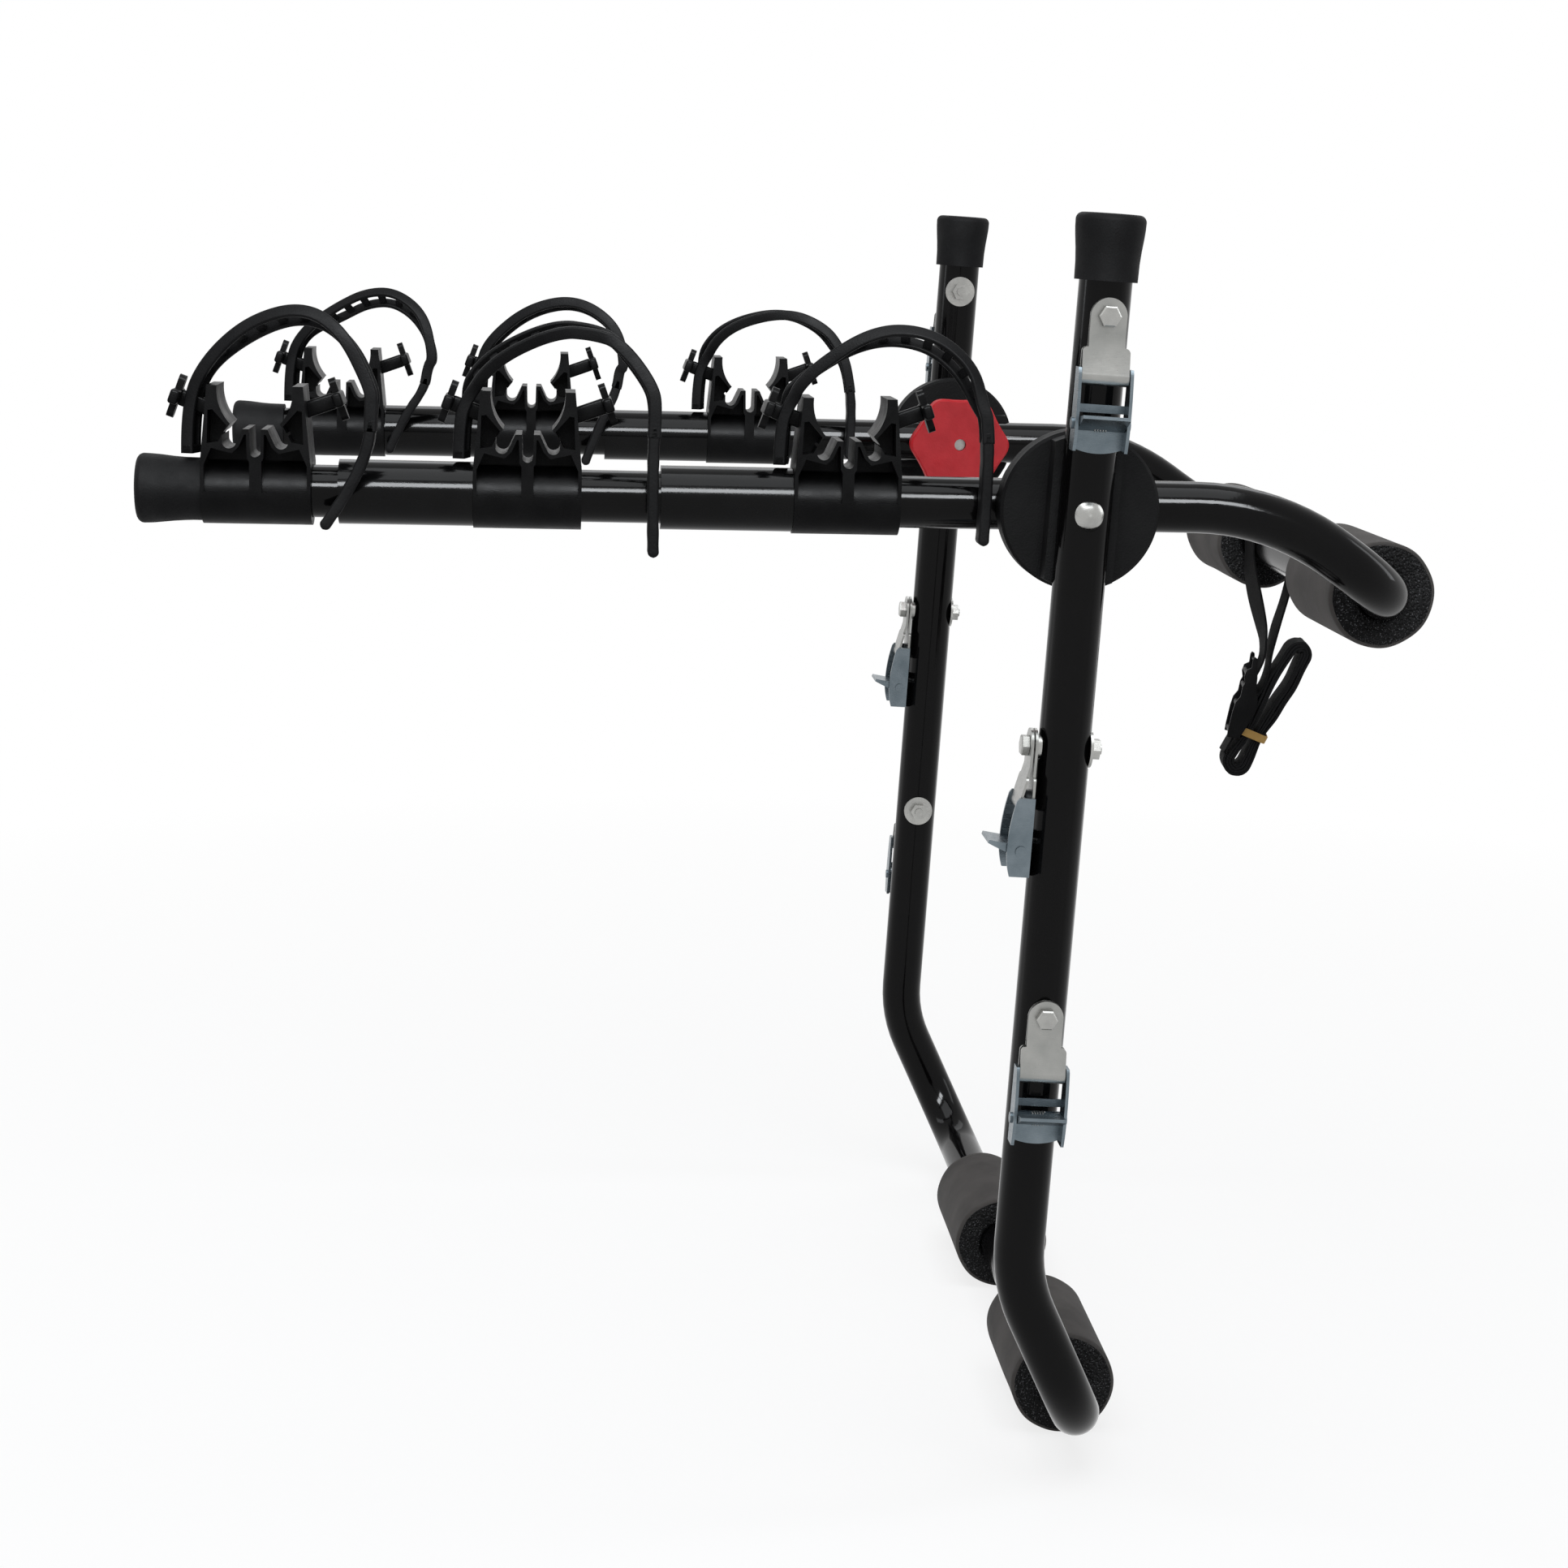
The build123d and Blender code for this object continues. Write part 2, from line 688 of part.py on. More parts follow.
def make_buckle_body():
    """Two cheeks joined by the loop bar, a cross strip and the base plate, with the riveted cam pin."""
    back = body_back
    half = body_inner / 2
    front_top = back + body_depth_top
    front_mid = back + body_depth
    pin_z = back + pin_from_back
    top_corner = (body_top_y, front_top - 1.5)
    bottom_corner = (body_bottom_y, front_mid - 2.4)
    crest = (pin_y + 4, front_mid)
    with BuildPart() as body:
        for sx in (-1, 1):
            with BuildSketch(Plane.YZ.offset(sx * (half + cheek / 2))):
                with BuildLine():
                    Polyline(top_corner, (body_top_y, back), (body_bottom_y, back), bottom_corner)
                    ThreePointArc(bottom_corner, (pin_y - 6, front_mid - 0.3), crest)
                    ThreePointArc(crest, (-42, front_mid - 1.1), (body_top_y - 2, front_top))
                    Line((body_top_y - 2, front_top), top_corner)
                make_face()
                with Locations((pin_y, pin_z)):
                    Circle(pin_r, mode=Mode.SUBTRACT)
            extrude(amount=cheek / 2, both=True)
        with BuildSketch(Plane.YZ.offset(-half)):
            with Locations((hanger_loop_y, loop_z())):
                Circle(loop_bar_r)
        extrude(amount=body_inner)
        with BuildSketch(Plane.XY.offset(back)):
            with Locations((0, sum(strip_y) / 2)):
                Rectangle(body_inner, strip_y[1] - strip_y[0])
            with BuildLine():
                low_left, low_right = (-half, body_bottom_y + 1), (half, body_bottom_y + 1)
                Polyline(low_left, (-half, base_top_y), (half, base_top_y), low_right)
                ThreePointArc(low_right, (0, body_bottom_y - 1.6), low_left)
            make_face()
        extrude(amount=sheet)
    with BuildPart() as pin:
        with BuildSketch(Plane.YZ.offset(-half - cheek)):
            with Locations((pin_y, pin_z)):
                Circle(pin_r)
        extrude(amount=body_inner + 2 * cheek)
        for sx in (-1, 1):
            with BuildSketch(Plane.YZ.offset(sx * (half + cheek + rivet_t / 2))):
                with Locations((pin_y, pin_z)):
                    Circle(rivet_r)
            extrude(amount=rivet_t / 2, both=True)
    return Compound(children=[body.part.solid(), pin.part.solid()])


def make_lever():
    """Sprung cam with its thumb lever, made round the pin's axis."""
    pin_z = body_back + pin_from_back
    bite_r = pin_from_back - sheet - moulding_gap
    angle = math.radians(lever_angle)
    reach = Vector(math.sin(angle), math.cos(angle)) * lever_reach
    with BuildPart() as lever:
        with BuildSketch(Plane.YZ.offset(-lever_width / 2)):
            with Locations((pin_y, pin_z)):
                Circle(cam_r)
            for i in range(cam_teeth):
                turn = math.radians(180 + 16 * (i - (cam_teeth - 1) / 2))
                tip = Vector(math.sin(turn), math.cos(turn))
                side = Vector(tip.Y, -tip.X)
                centre = Vector(pin_y, pin_z)
                Polygon(
                    centre + tip * bite_r,
                    centre + tip * cam_r * 0.9 + side * 0.7,
                    centre + tip * cam_r * 0.9 - side * 0.7,
                    align=None,
                )
            with BuildLine():
                root = Vector(pin_y, pin_z)
                end = root + reach
                tip_corner = end + Vector(-0.9, 0.6)
                heel = root + Vector(-cam_r + 0.6, 2.4)
                Polyline(root + Vector(cam_r - 0.6, 0), end + Vector(0.9, 0), tip_corner)
                ThreePointArc(tip_corner, root + reach * 0.62 + Vector(-2.6, 0), heel)
                Polyline(heel, root + Vector(-cam_r + 0.6, 0), root + Vector(cam_r - 0.6, 0))
            make_face()
            with Locations((pin_y, pin_z)):
                Circle(pin_r + bolt_gap, mode=Mode.SUBTRACT)
        extrude(amount=lever_width)
    return lever.part


def make_buckle_bolt():
    """Hexagon bolt through the upright, head outward."""
    head = leaf_front() + face_gap
    tail = -(seat + washer_t + nut_t + bolt_tail)
    with BuildPart() as bolt:
        with BuildSketch(Plane.XY.offset(tail)):
            Circle(bolt_r)
        extrude(amount=head - tail)
        with BuildSketch(Plane.XY.offset(head)):
            RegularPolygon(bolt_head_af / 2, 6, major_radius=False)
        extrude(amount=bolt_head_t)
        chamfer(bolt.faces().sort_by(Axis.Z)[-1].edges(), 0.7)
    return bolt.part


# Webbing


def hank_frame():
    """Unit vectors along the hank, bottom to top, and out to its car side."""
    axis = (Vector(*hank_top) - Vector(*hank_bottom)).normalized()
    return axis, Vector(axis.Y, -axis.X)


def hank_radius(half_turn):
    return hank_core + webbing_t / 2 + half_turn * hank_step / 2


def hank_end():
    """Where the last half turn leaves the bottom of the hank, on the side of the bikes."""
    axis, side = hank_frame()
    return Vector(*hank_bottom) - side * (hank_step / 4 + hank_radius(2 * hank_turns - 1))


def in_space(points):
    return [(p[0], webbing_y, p[1]) for p in points]


def least_gap(route):
    """Least gap between layers of the webbing, measured between points along its middle."""
    count = int(route.length / hank_point_step)
    points = [route @ (i / count) for i in range(count + 1)]
    apart = math.ceil(2 * hank_step / hank_point_step)
    pairs = ((p, q) for i, p in enumerate(points) for q in points[i + apart:])
    return min((p - q).length for p, q in pairs) - webbing_t


def make_hank():
    """Webbing wound on two centres, so that each half turn steps out by half a step."""
    axis, side = hank_frame()
    shift = side * (hank_step / 4)
    centres = (Vector(*hank_top) + shift, Vector(*hank_bottom) - shift)
    with BuildPart() as hank:
        with BuildLine() as path:
            last = None
            for k in range(2 * hank_turns):
                r = hank_radius(k)
                sign = 1 if k % 2 == 0 else -1
                centre = centres[k % 2]
                turn = [centre - side * (sign * r), centre + axis * (sign * r), centre + side * (sign * r)]
                start, middle, stop = in_space([tuple(p)[:2] for p in turn])
                if last is not None:
                    Line(last, start)
                ThreePointArc(start, middle, stop)
                last = stop
        with BuildSketch(across(path)):
            Rectangle(webbing_width, webbing_t)
        sweep()
    print("hank length", round(path.wire().length), "least gap to itself", round(least_gap(path.wire()), 2))
    return hank.part


def make_webbing():
    """From the plastic buckle, up and over the bar, and down into the hank."""
    over_r = tube_r + moulding_gap + webbing_t / 2
    left, right = boot_bar_x - over_r, boot_bar_x + over_r
    axis, _ = hank_frame()
    end = hank_end()
    down_left = [(left, boot_bar_z), (left, boot_bar_z - 18)] + list(webbing_left_leg)
    down_right = [(right, boot_bar_z), (right, boot_bar_z - 18)] + list(webbing_right_leg)
    down_right += [tuple(end + axis * webbing_lies)[:2], tuple(end)[:2]]
    with BuildPart() as webbing:
        with BuildLine() as path:
            points = in_space(down_left[::-1])
            FilletPolyline(*points, radius=round_corners(points))
            ThreePointArc(*in_space([(left, boot_bar_z), (boot_bar_x, boot_bar_z + over_r), (right, boot_bar_z)]))
            points = in_space(down_right)
            FilletPolyline(*points, radius=round_corners(points))
        with BuildSketch(across(path)):
            Rectangle(webbing_width, webbing_t)
        sweep()
    print("webbing length", round(path.wire().length), "radii", [round(r) for r in round_corners(points)])
    return webbing.part


def make_webbing_buckle():
    """Moulded ladder lock, seen edge on, with two slots for the webbing."""
    top = Vector(*webbing_left_leg[-1])
    foot = Vector(*buckle_foot)
    along = (top - foot).normalized()
    place = Plane(origin=(top.X, webbing_y, top.Y), x_dir=(0, 1, 0), z_dir=(along.X, 0, along.Y))
    length = (top - foot).length
    half = buckle_width / 2
    with BuildPart() as buckle:
        with BuildSketch(Plane.YZ.offset(-half)):
            with BuildLine():
                Polyline((-1.2, 0), (-1.2, -9), (-2.0, -12), (-2.0, -length + 14), (-1.2, -length), (1.4, -length))
                Spline(
                    (1.4, -length),
                    (3.8, -length + 16),
                    (4.4, -length + 30),
                    (2.6, -length + 40),
                    (3.6, -12),
                    (1.2, 0),
                )
                Line((1.2, 0), (-1.2, 0))
            make_face()
        extrude(amount=buckle_width)
        with BuildSketch(Plane.XZ.offset(-10)):
            for z in buckle_slots:
                with Locations((0, z)):
                    RectangleRounded(webbing_width + 1.4, 5, 1.2)
        extrude(amount=20, mode=Mode.SUBTRACT)
        with Locations((0, 0, 0)):
            Box(webbing_width + 0.6, 3, 1.2, mode=Mode.SUBTRACT)
    return buckle.part.moved(place.location)


def make_band():
    """Rubber band round the hank."""
    axis, side = hank_frame()
    middle = Vector(*hank_bottom) + axis * band_at
    place = Plane(origin=(middle.X, webbing_y, middle.Y), x_dir=(0, 1, 0), z_dir=(axis.X, 0, axis.Y))
    deep = 2 * (hank_radius(2 * hank_turns - 1) + webbing_t / 2 + hank_step / 4 + band_air)
    with BuildPart() as band:
        with BuildSketch():
            RectangleRounded(webbing_width + 2 * (band_air + band_t), deep + 2 * band_t, band_corner + band_t)
            RectangleRounded(webbing_width + 2 * band_air, deep, band_corner, mode=Mode.SUBTRACT)
        extrude(amount=band_width / 2, both=True)
    return band.part.moved(place.location)


# All pieces in their places


def group(pieces):
    return Compound([solid for piece in pieces for solid in piece.solids()])


def export_frames():
    save(make_upright_frame(), "upright_frame")
    save(make_arm_frame(), "arm_frame")
    cap = make_cap()
    upright_caps, arm_caps = [], []
    for side in (-1, 1):
        upright_caps.append(cap.moved(Plane(on_upright(side, upright_top), z_dir=up).location))
        arm_caps.append(cap.moved(Plane(on_arm(side, arm_end_x), z_dir=(-1, 0, 0)).location))
    save(group(upright_caps), "upright_end_caps")
    save(group(arm_caps), "arm_end_caps")
    pad = make_pad()
    for word, y_foot, y_boot in zip(("near", "far"), foot_pad_y, boot_pad_y):
        save(pad.moved(Location((foot_bar_x, y_foot, foot_bar_z))), f"foot_pad_{word}")
        save(pad.moved(Location((boot_bar_x, y_boot, boot_bar_z))), f"boot_pad_{word}")


def export_hubs():
    disc, knob = make_disc(), make_knob()
    bolt = make_hub_bolt()
    washer = make_ring(hub_washer_r, hub_bolt_r + bolt_gap, hub_washer_t)
    nut = make_hex_nut(knob_nut_af, hub_bolt_r + bolt_gap, knob_nut_t)
    washer_z = hub_depth + seat
    knob_z = washer_z + hub_washer_t + face_gap
    nut_z = knob_z + knob_height - knob_dish_depth - knob_nut_depth - knob_nut_t
    bolts, washers = [], []
    for word, side in (("near", -1), ("far", 1)):
        outer, inner = outer_hub_frame(side), inner_hub_frame(side)
        save(disc.moved(outer.location), f"hub_disc_outer_{word}")
        save(disc.moved(inner.location), f"hub_disc_inner_{word}")
        save(knob.moved(inner.offset(knob_z).location), f"hub_knob_{word}")
        save(nut.moved(inner.offset(nut_z).location), f"hub_knob_nut_{word}")
        bolts.append(bolt.moved(outer.location))
        washers.append(washer.moved(inner.offset(washer_z).location))
    save(group(bolts), "hub_bolts")
    save(group(washers), "hub_washers")


def export_cradles():
    sleeve, cradle = make_sleeve(), make_cradle()
    rows = (("near", -1, near_cradle_x, near_sleeve_x), ("far", 1, far_cradle_x, far_sleeve_x))
    for word, side, cradle_x, sleeve_x in rows:
        for i, x in enumerate(sleeve_x, 1):
            save(sleeve.moved(Location(on_arm(side, x))), f"spacer_sleeve_{word}_{i}")
        for i, x in enumerate(cradle_x, 1):
            middle = on_arm(side, x + cradle_length / 2)
            save(cradle.moved(Location(middle)), f"cradle_{word}_{i}")
            strap = make_strap(*strap_routes[f"{word}_{i}"])
            save(strap.moved(Location(middle)), f"ladder_strap_{word}_{i}")


def export_buckles():
    hanger, body, lever = make_hanger(), make_buckle_body(), make_lever()
    bolt = make_buckle_bolt()
    spacer = make_ring(spacer_r, bolt_r + bolt_gap, spacer_t)
    washer = make_ring(washer_r, bolt_r + bolt_gap, washer_t)
    nut = make_hex_nut(bolt_head_af, bolt_r + bolt_gap, nut_t)
    bolts, rings, nuts = [], [], []
    for name, place in buckle_frames().items():
        save(hanger.moved(place.location), f"buckle_hanger_{name}")
        save(body.moved(place.location), f"buckle_body_{name}")
        save(lever.moved(place.location), f"buckle_lever_{name}")
        bolts.append(bolt.moved(place.location))
        rings.append(spacer.moved(place.offset(seat).location))
        rings.append(washer.moved(place.offset(-seat - washer_t).location))
        nuts.append(nut.moved(place.offset(-seat - washer_t - nut_t).location))
    save(group(bolts), "buckle_bolts")
    save(group(rings), "buckle_bolt_washers")
    save(group(nuts), "buckle_bolt_nuts")


def export_webbing():
    save(make_webbing(), "webbing_strap")
    save(make_hank(), "webbing_hank")
    save(make_webbing_buckle(), "webbing_buckle")
    save(make_band(), "webbing_band")


os.makedirs("parts", exist_ok=True)
export_frames()
export_hubs()
export_cradles()
export_buckles()
export_webbing()
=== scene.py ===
import bpy
import math
import numpy as np
from mathutils import Matrix, Vector


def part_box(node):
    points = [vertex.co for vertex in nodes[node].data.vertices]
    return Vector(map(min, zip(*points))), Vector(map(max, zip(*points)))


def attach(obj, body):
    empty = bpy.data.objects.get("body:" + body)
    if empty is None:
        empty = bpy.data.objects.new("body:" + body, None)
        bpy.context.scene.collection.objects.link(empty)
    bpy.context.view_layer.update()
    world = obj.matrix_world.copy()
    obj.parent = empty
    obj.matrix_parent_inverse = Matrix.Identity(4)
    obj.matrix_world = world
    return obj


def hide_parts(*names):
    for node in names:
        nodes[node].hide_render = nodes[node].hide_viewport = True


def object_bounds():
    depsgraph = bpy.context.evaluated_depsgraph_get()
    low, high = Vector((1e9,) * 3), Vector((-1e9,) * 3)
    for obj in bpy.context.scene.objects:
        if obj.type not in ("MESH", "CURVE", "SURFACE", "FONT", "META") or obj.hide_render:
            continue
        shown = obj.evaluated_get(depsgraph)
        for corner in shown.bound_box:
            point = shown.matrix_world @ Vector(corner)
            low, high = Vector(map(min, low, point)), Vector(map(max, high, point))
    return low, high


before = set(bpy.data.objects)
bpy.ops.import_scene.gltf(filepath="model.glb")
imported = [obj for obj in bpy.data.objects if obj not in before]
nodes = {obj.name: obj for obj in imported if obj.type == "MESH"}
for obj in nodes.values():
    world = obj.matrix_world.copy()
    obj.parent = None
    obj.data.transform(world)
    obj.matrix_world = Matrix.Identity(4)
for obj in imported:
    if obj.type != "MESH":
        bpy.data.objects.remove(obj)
cad_low, cad_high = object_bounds()

# Lengths are in millimetres where a value is multiplied by MM, and in metres elsewhere
MM = 0.001
sides = {"near": -1, "far": 1}
heights = ("top", "middle", "bottom")


# Camera

camera_place = (-0.299988, -1.940399, 0.152668)
camera_angles = (0.081, -0.187, 0.026)
sensor, focal_share = 36.0, 3600 / 1932


def make_camera():
    yaw, pitch, roll = camera_angles
    forward = Vector((math.sin(yaw) * math.cos(pitch), math.cos(yaw) * math.cos(pitch), math.sin(pitch)))
    right = Vector((math.cos(yaw), -math.sin(yaw), 0))
    up = right.cross(forward)
    right_r = right * math.cos(roll) + up * math.sin(roll)
    up_r = up * math.cos(roll) - right * math.sin(roll)
    data = bpy.data.cameras.new("camera")
    data.sensor_width = sensor
    data.lens = focal_share * sensor
    data.clip_start, data.clip_end = 0.05, 50
    cam = bpy.data.objects.new("camera", data)
    bpy.context.scene.collection.objects.link(cam)
    rotation = Matrix((right_r, up_r, -forward)).transposed()
    cam.matrix_world = Matrix.Translation(camera_place) @ rotation.to_4x4()
    bpy.context.scene.camera = cam


# Node helpers

class Nodes:
    """A material and short ways to add nodes to it."""

    def __init__(self, name):
        self.material = bpy.data.materials.new(name)
        self.material.use_nodes = True
        self.tree = self.material.node_tree
        self.shader = self.tree.nodes["Principled BSDF"]

    def add(self, kind, **settings):
        node = self.tree.nodes.new(kind)
        for key, value in settings.items():
            if hasattr(node, key):
                setattr(node, key, value)
            else:
                node.inputs[key.replace("_", " ")].default_value = value
        return node

    def link(self, out, into):
        self.tree.links.new(out, into)

    def put(self, value, socket):
        """Set a socket to a number or a colour, or link it."""
        if isinstance(value, (int, float)):
            socket.default_value = value
        elif isinstance(value, tuple):
            socket.default_value = (*value, 1.0)
        else:
            self.link(value, socket)

    def set(self, **values):
        for key, value in values.items():
            self.put(value, self.shader.inputs[key.replace("_", " ")])

    def place(self):
        return self.add("ShaderNodeTexCoord").outputs["Object"]

    def noise(self, scale, detail, stretch=None):
        vector = self.place()
        if stretch:
            mapping = self.add("ShaderNodeMapping")
            mapping.inputs["Scale"].default_value = stretch
            self.link(vector, mapping.inputs["Vector"])
            vector = mapping.outputs["Vector"]
        node = self.add("ShaderNodeTexNoise", Scale=scale, Detail=detail, Roughness=0.55)
        self.link(vector, node.inputs["Vector"])
        return node.outputs["Fac"]

    def ramp(self, value, low, high, to_low=0.0, to_high=1.0):
        node = self.add("ShaderNodeMapRange", From_Min=low, From_Max=high, To_Min=to_low, To_Max=to_high)
        self.link(value, node.inputs["Value"])
        return node.outputs["Result"]

    def mix(self, factor, one, two):
        node = self.add("ShaderNodeMix", data_type="RGBA")
        self.link(factor, node.inputs["Factor"])
        self.put(one, node.inputs[6])
        self.put(two, node.inputs[7])
        return node.outputs[2]

    def math(self, operation, *values):
        node = self.add("ShaderNodeMath", operation=operation)
        for value, socket in zip(values, node.inputs):
            self.put(value, socket)
        return node.outputs[0]

    def bump(self, height, strength, distance):
        node = self.add("ShaderNodeBump", Strength=strength, Distance=distance)
        self.link(height, node.inputs["Height"])
        if self.shader.inputs["Normal"].is_linked:
            self.link(self.shader.inputs["Normal"].links[0].from_socket, node.inputs["Normal"])
        self.link(node.outputs["Normal"], self.shader.inputs["Normal"])


# Materials: two colours, the range of the roughness, the scale of the grain and the specular level

def paint_black():
    m = Nodes("powder_coat_black")
    m.set(Base_Color=m.mix(m.noise(60, 3), (0.0014, 0.0013, 0.0014), (0.003, 0.0028, 0.003)))
    m.set(Roughness=m.ramp(m.noise(35, 5), 0.35, 0.75, 0.09, 0.15), Specular_IOR_Level=0.11)
    m.bump(m.noise(420, 2), 0.06, 0.0004)
    m.bump(m.noise(14, 2), 0.06, 0.002)
    return m.material


def rubber(name, dark, light, rough=(0.52, 0.7), grain=900, level=0.06):
    m = Nodes(name)
    dust = m.ramp(m.noise(28, 6), 0.45, 0.72)
    m.set(Base_Color=m.mix(dust, dark, light))
    m.set(Roughness=m.ramp(m.noise(70, 5), 0.3, 0.7, *rough), Specular_IOR_Level=level)
    m.bump(m.noise(grain, 3), 0.22, 0.0006)
    m.bump(m.noise(45, 3), 0.12, 0.002)
    return m.material


def moulded(name, dark, light, rough=(0.36, 0.5), grain=1400, depth=0.22, level=0.05):
    m = Nodes(name)
    m.set(Base_Color=m.mix(m.ramp(m.noise(40, 5), 0.35, 0.7), dark, light))
    m.set(Roughness=m.ramp(m.noise(90, 4), 0.3, 0.7, *rough), Specular_IOR_Level=level)
    m.bump(m.noise(grain, 2), depth, 0.0004)
    return m.material


def zinc(name, colour, tint, rough=(0.24, 0.4)):
    m = Nodes(name)
    brushed = m.noise(240, 4, stretch=(1.0, 1.0, 9.0))
    cloud = m.noise(55, 5)
    m.set(Base_Color=m.mix(m.ramp(cloud, 0.3, 0.7), colour, tint), Metallic=1.0)
    m.set(Roughness=m.ramp(brushed, 0.3, 0.7, *rough))
    m.bump(brushed, 0.12, 0.0004)
    m.bump(m.noise(700, 2), 0.06, 0.0003)
    return m.material


def foam_skin():
    m = Nodes("foam_skin")
    cells = m.noise(1500, 3)
    wear = m.ramp(m.noise(30, 6), 0.35, 0.7)
    m.set(Base_Color=m.mix(wear, (0.046, 0.042, 0.040), (0.072, 0.066, 0.062)))
    m.set(Roughness=0.82, Specular_IOR_Level=0.10, Sheen_Weight=0.05, Sheen_Roughness=0.5)
    m.bump(cells, 0.30, 0.0006)
    m.bump(m.noise(60, 4), 0.16, 0.002)
    return m.material


def foam_cut():
    m = Nodes("foam_cut")
    cells = m.add("ShaderNodeTexVoronoi", Scale=520.0)
    m.link(m.place(), cells.inputs["Vector"])
    # Painted shade: each cell pit is darker towards its middle, as well as sunk by the bump below
    pit_depth_and_shade = m.ramp(cells.outputs["Distance"], 0.1, 0.62)
    # Painted glints: light grey flecks on the black cut stand in for light catching the cut cells
    painted_glint_fleck = m.ramp(m.noise(1100, 2), 0.60, 0.68)
    base = m.mix(pit_depth_and_shade, (0.002, 0.002, 0.0021), (0.007, 0.007, 0.0072))
    m.set(Base_Color=m.mix(painted_glint_fleck, base, (0.11, 0.11, 0.115)))
    m.set(Roughness=0.6, Specular_IOR_Level=0.06)
    m.bump(pit_depth_and_shade, 0.7, 0.0009)
    return m.material


def weave(name, colour, light, pitch=1.25):
    """Narrow webbing: ribs across the width, in staggered picks, from the mesh's own UVs in mm, with
    painted shade in the grooves and a painted highlight on the ridges.
    """
    m = Nodes(name)

    def off_centre(value):
        """How far a value is from the middle between two whole numbers."""
        return m.math("ABSOLUTE", m.math("SUBTRACT", m.math("FRACT", value), 0.5))

    split = m.add("ShaderNodeSeparateXYZ")
    m.link(m.add("ShaderNodeUVMap").outputs["UV"], split.inputs["Vector"])
    along, over = split.outputs["X"], m.math("DIVIDE", split.outputs["Y"], pitch)
    column = m.math("FLOOR", over)
    shifted = m.math("ADD", m.math("DIVIDE", along, pitch * 1.4), m.math("MULTIPLY", column, 0.5))
    pick = m.math("MULTIPLY", off_centre(shifted), 0.9)
    rib = m.math("MULTIPLY", off_centre(over), 1.1)
    height = m.math("SUBTRACT", 1.0, m.math("ADD", pick, rib))
    fuzz = m.noise(1600, 2)
    # Painted shade and highlight: the grooves between ribs and picks take the darker colour, the ridges
    # the lighter one
    m.set(Base_Color=m.mix(m.ramp(height, 0.1, 0.9), colour, light))
    m.set(Roughness=m.ramp(fuzz, 0.3, 0.7, 0.62, 0.8), Specular_IOR_Level=0.06)
    m.bump(height, 0.55, 0.0006)
    m.bump(fuzz, 0.2, 0.0003)
    return m.material


def knob_red():
    m = Nodes("knob_red")
    mottle = m.ramp(m.noise(70, 5), 0.35, 0.7)
    m.set(Base_Color=m.mix(mottle, (0.42, 0.010, 0.016), (0.52, 0.019, 0.026)))
    m.set(Roughness=m.ramp(m.noise(120, 4), 0.3, 0.7, 0.42, 0.58), Specular_IOR_Level=0.12)
    m.bump(m.noise(1000, 2), 0.25, 0.0004)
    m.bump(m.noise(60, 3), 0.15, 0.0015)
    return m.material


def crease(piece, degrees=32):
    """Keep the edges sharp where faces meet at more than an angle."""
    split = piece.modifiers.new("crease", "EDGE_SPLIT")
    split.split_angle = math.radians(degrees)


def dress(names, material):
    for name in names:
        mesh = nodes[name].data
        mesh.materials.clear()
        mesh.materials.append(material)
        for polygon in mesh.polygons:
            polygon.material_index = 0
            polygon.use_smooth = True
        weld = nodes[name].modifiers.new("weld", "WELD")
        weld.merge_threshold = 0.00001
        crease(nodes[name])


# Mesh helpers

def new_piece(name, verts, faces, material, uvs=None, smooth=True):
    mesh = bpy.data.meshes.new(name)
    mesh.from_pydata([tuple(v) for v in verts], [], faces)
    mesh.update()
    if uvs is not None:
        layer = mesh.uv_layers.new(name="UVMap")
        for loop in mesh.loops:
            layer.data[loop.index].uv = uvs[loop.vertex_index]
    piece = bpy.data.objects.new(name, mesh)
    bpy.context.scene.collection.objects.link(piece)
    for item in material if isinstance(material, list) else [material]:
        mesh.materials.append(item)
    for polygon in mesh.polygons:
        polygon.use_smooth = smooth
    return piece


def joined_piece(name, parts, material):
    """One piece from several meshes, each its vertices, its faces and perhaps its UVs."""
    verts, faces, uvs = [], [], []
    for some_verts, some_faces, *some_uvs in parts:
        base = len(verts)
        verts += some_verts
        faces += [tuple(base + i for i in face) for face in some_faces]
        uvs += some_uvs[0] if some_uvs else [(0.0, 0.0)] * len(some_verts)
    return new_piece(name, verts, faces, material, uvs)


def ring_faces(rings, count, closed=False):
    """Faces between rings of count vertices, and from the last ring to the first if closed."""
    faces = []
    for i in range(rings if closed else rings - 1):
        low, high = i * count, (i + 1) % rings * count
        for j in range(count):
            q = (j + 1) % count
            faces.append((low + j, low + q, high + q, high + j))
    return faces


def ease(value):
    """From 0 to 1 with a soft start and end."""
    value = np.clip(value, 0, 1)
    return value * value * (3 - 2 * value)


def bell(value, middle, width):
    return np.exp(-((value - middle) / width) ** 2)


def lengths_along(line):
    return np.concatenate([[0], np.cumsum(np.linalg.norm(np.diff(line, axis=0), axis=1))])


def steps(start, end, step):
    return np.linspace(start, end, max(2, int(round((end - start) / step)) + 1))


def at_lengths(line, s, want):
    return np.stack([np.interp(want, s, line[:, i]) for i in range(line.shape[1])], 1)


def even(line, step):
    """The line with its points about a step apart, and its length."""
    s = lengths_along(line)
    return at_lengths(line, s, steps(0, s[-1], step)), s[-1]


def ribbon_frames(line, width_dir):
    """For each point of a line, the way the ribbon's width runs and the way its thickness does."""
    tangent = np.gradient(line, axis=0)
    tangent /= np.linalg.norm(tangent, axis=1)[:, None]
    wide = np.asarray(width_dir, float)
    wide = np.tile(wide, (len(line), 1)) if wide.ndim == 1 else wide
    wide = wide - (wide * tangent).sum(1)[:, None] * tangent
    wide /= np.linalg.norm(wide, axis=1)[:, None]
    return wide, np.cross(tangent, wide)


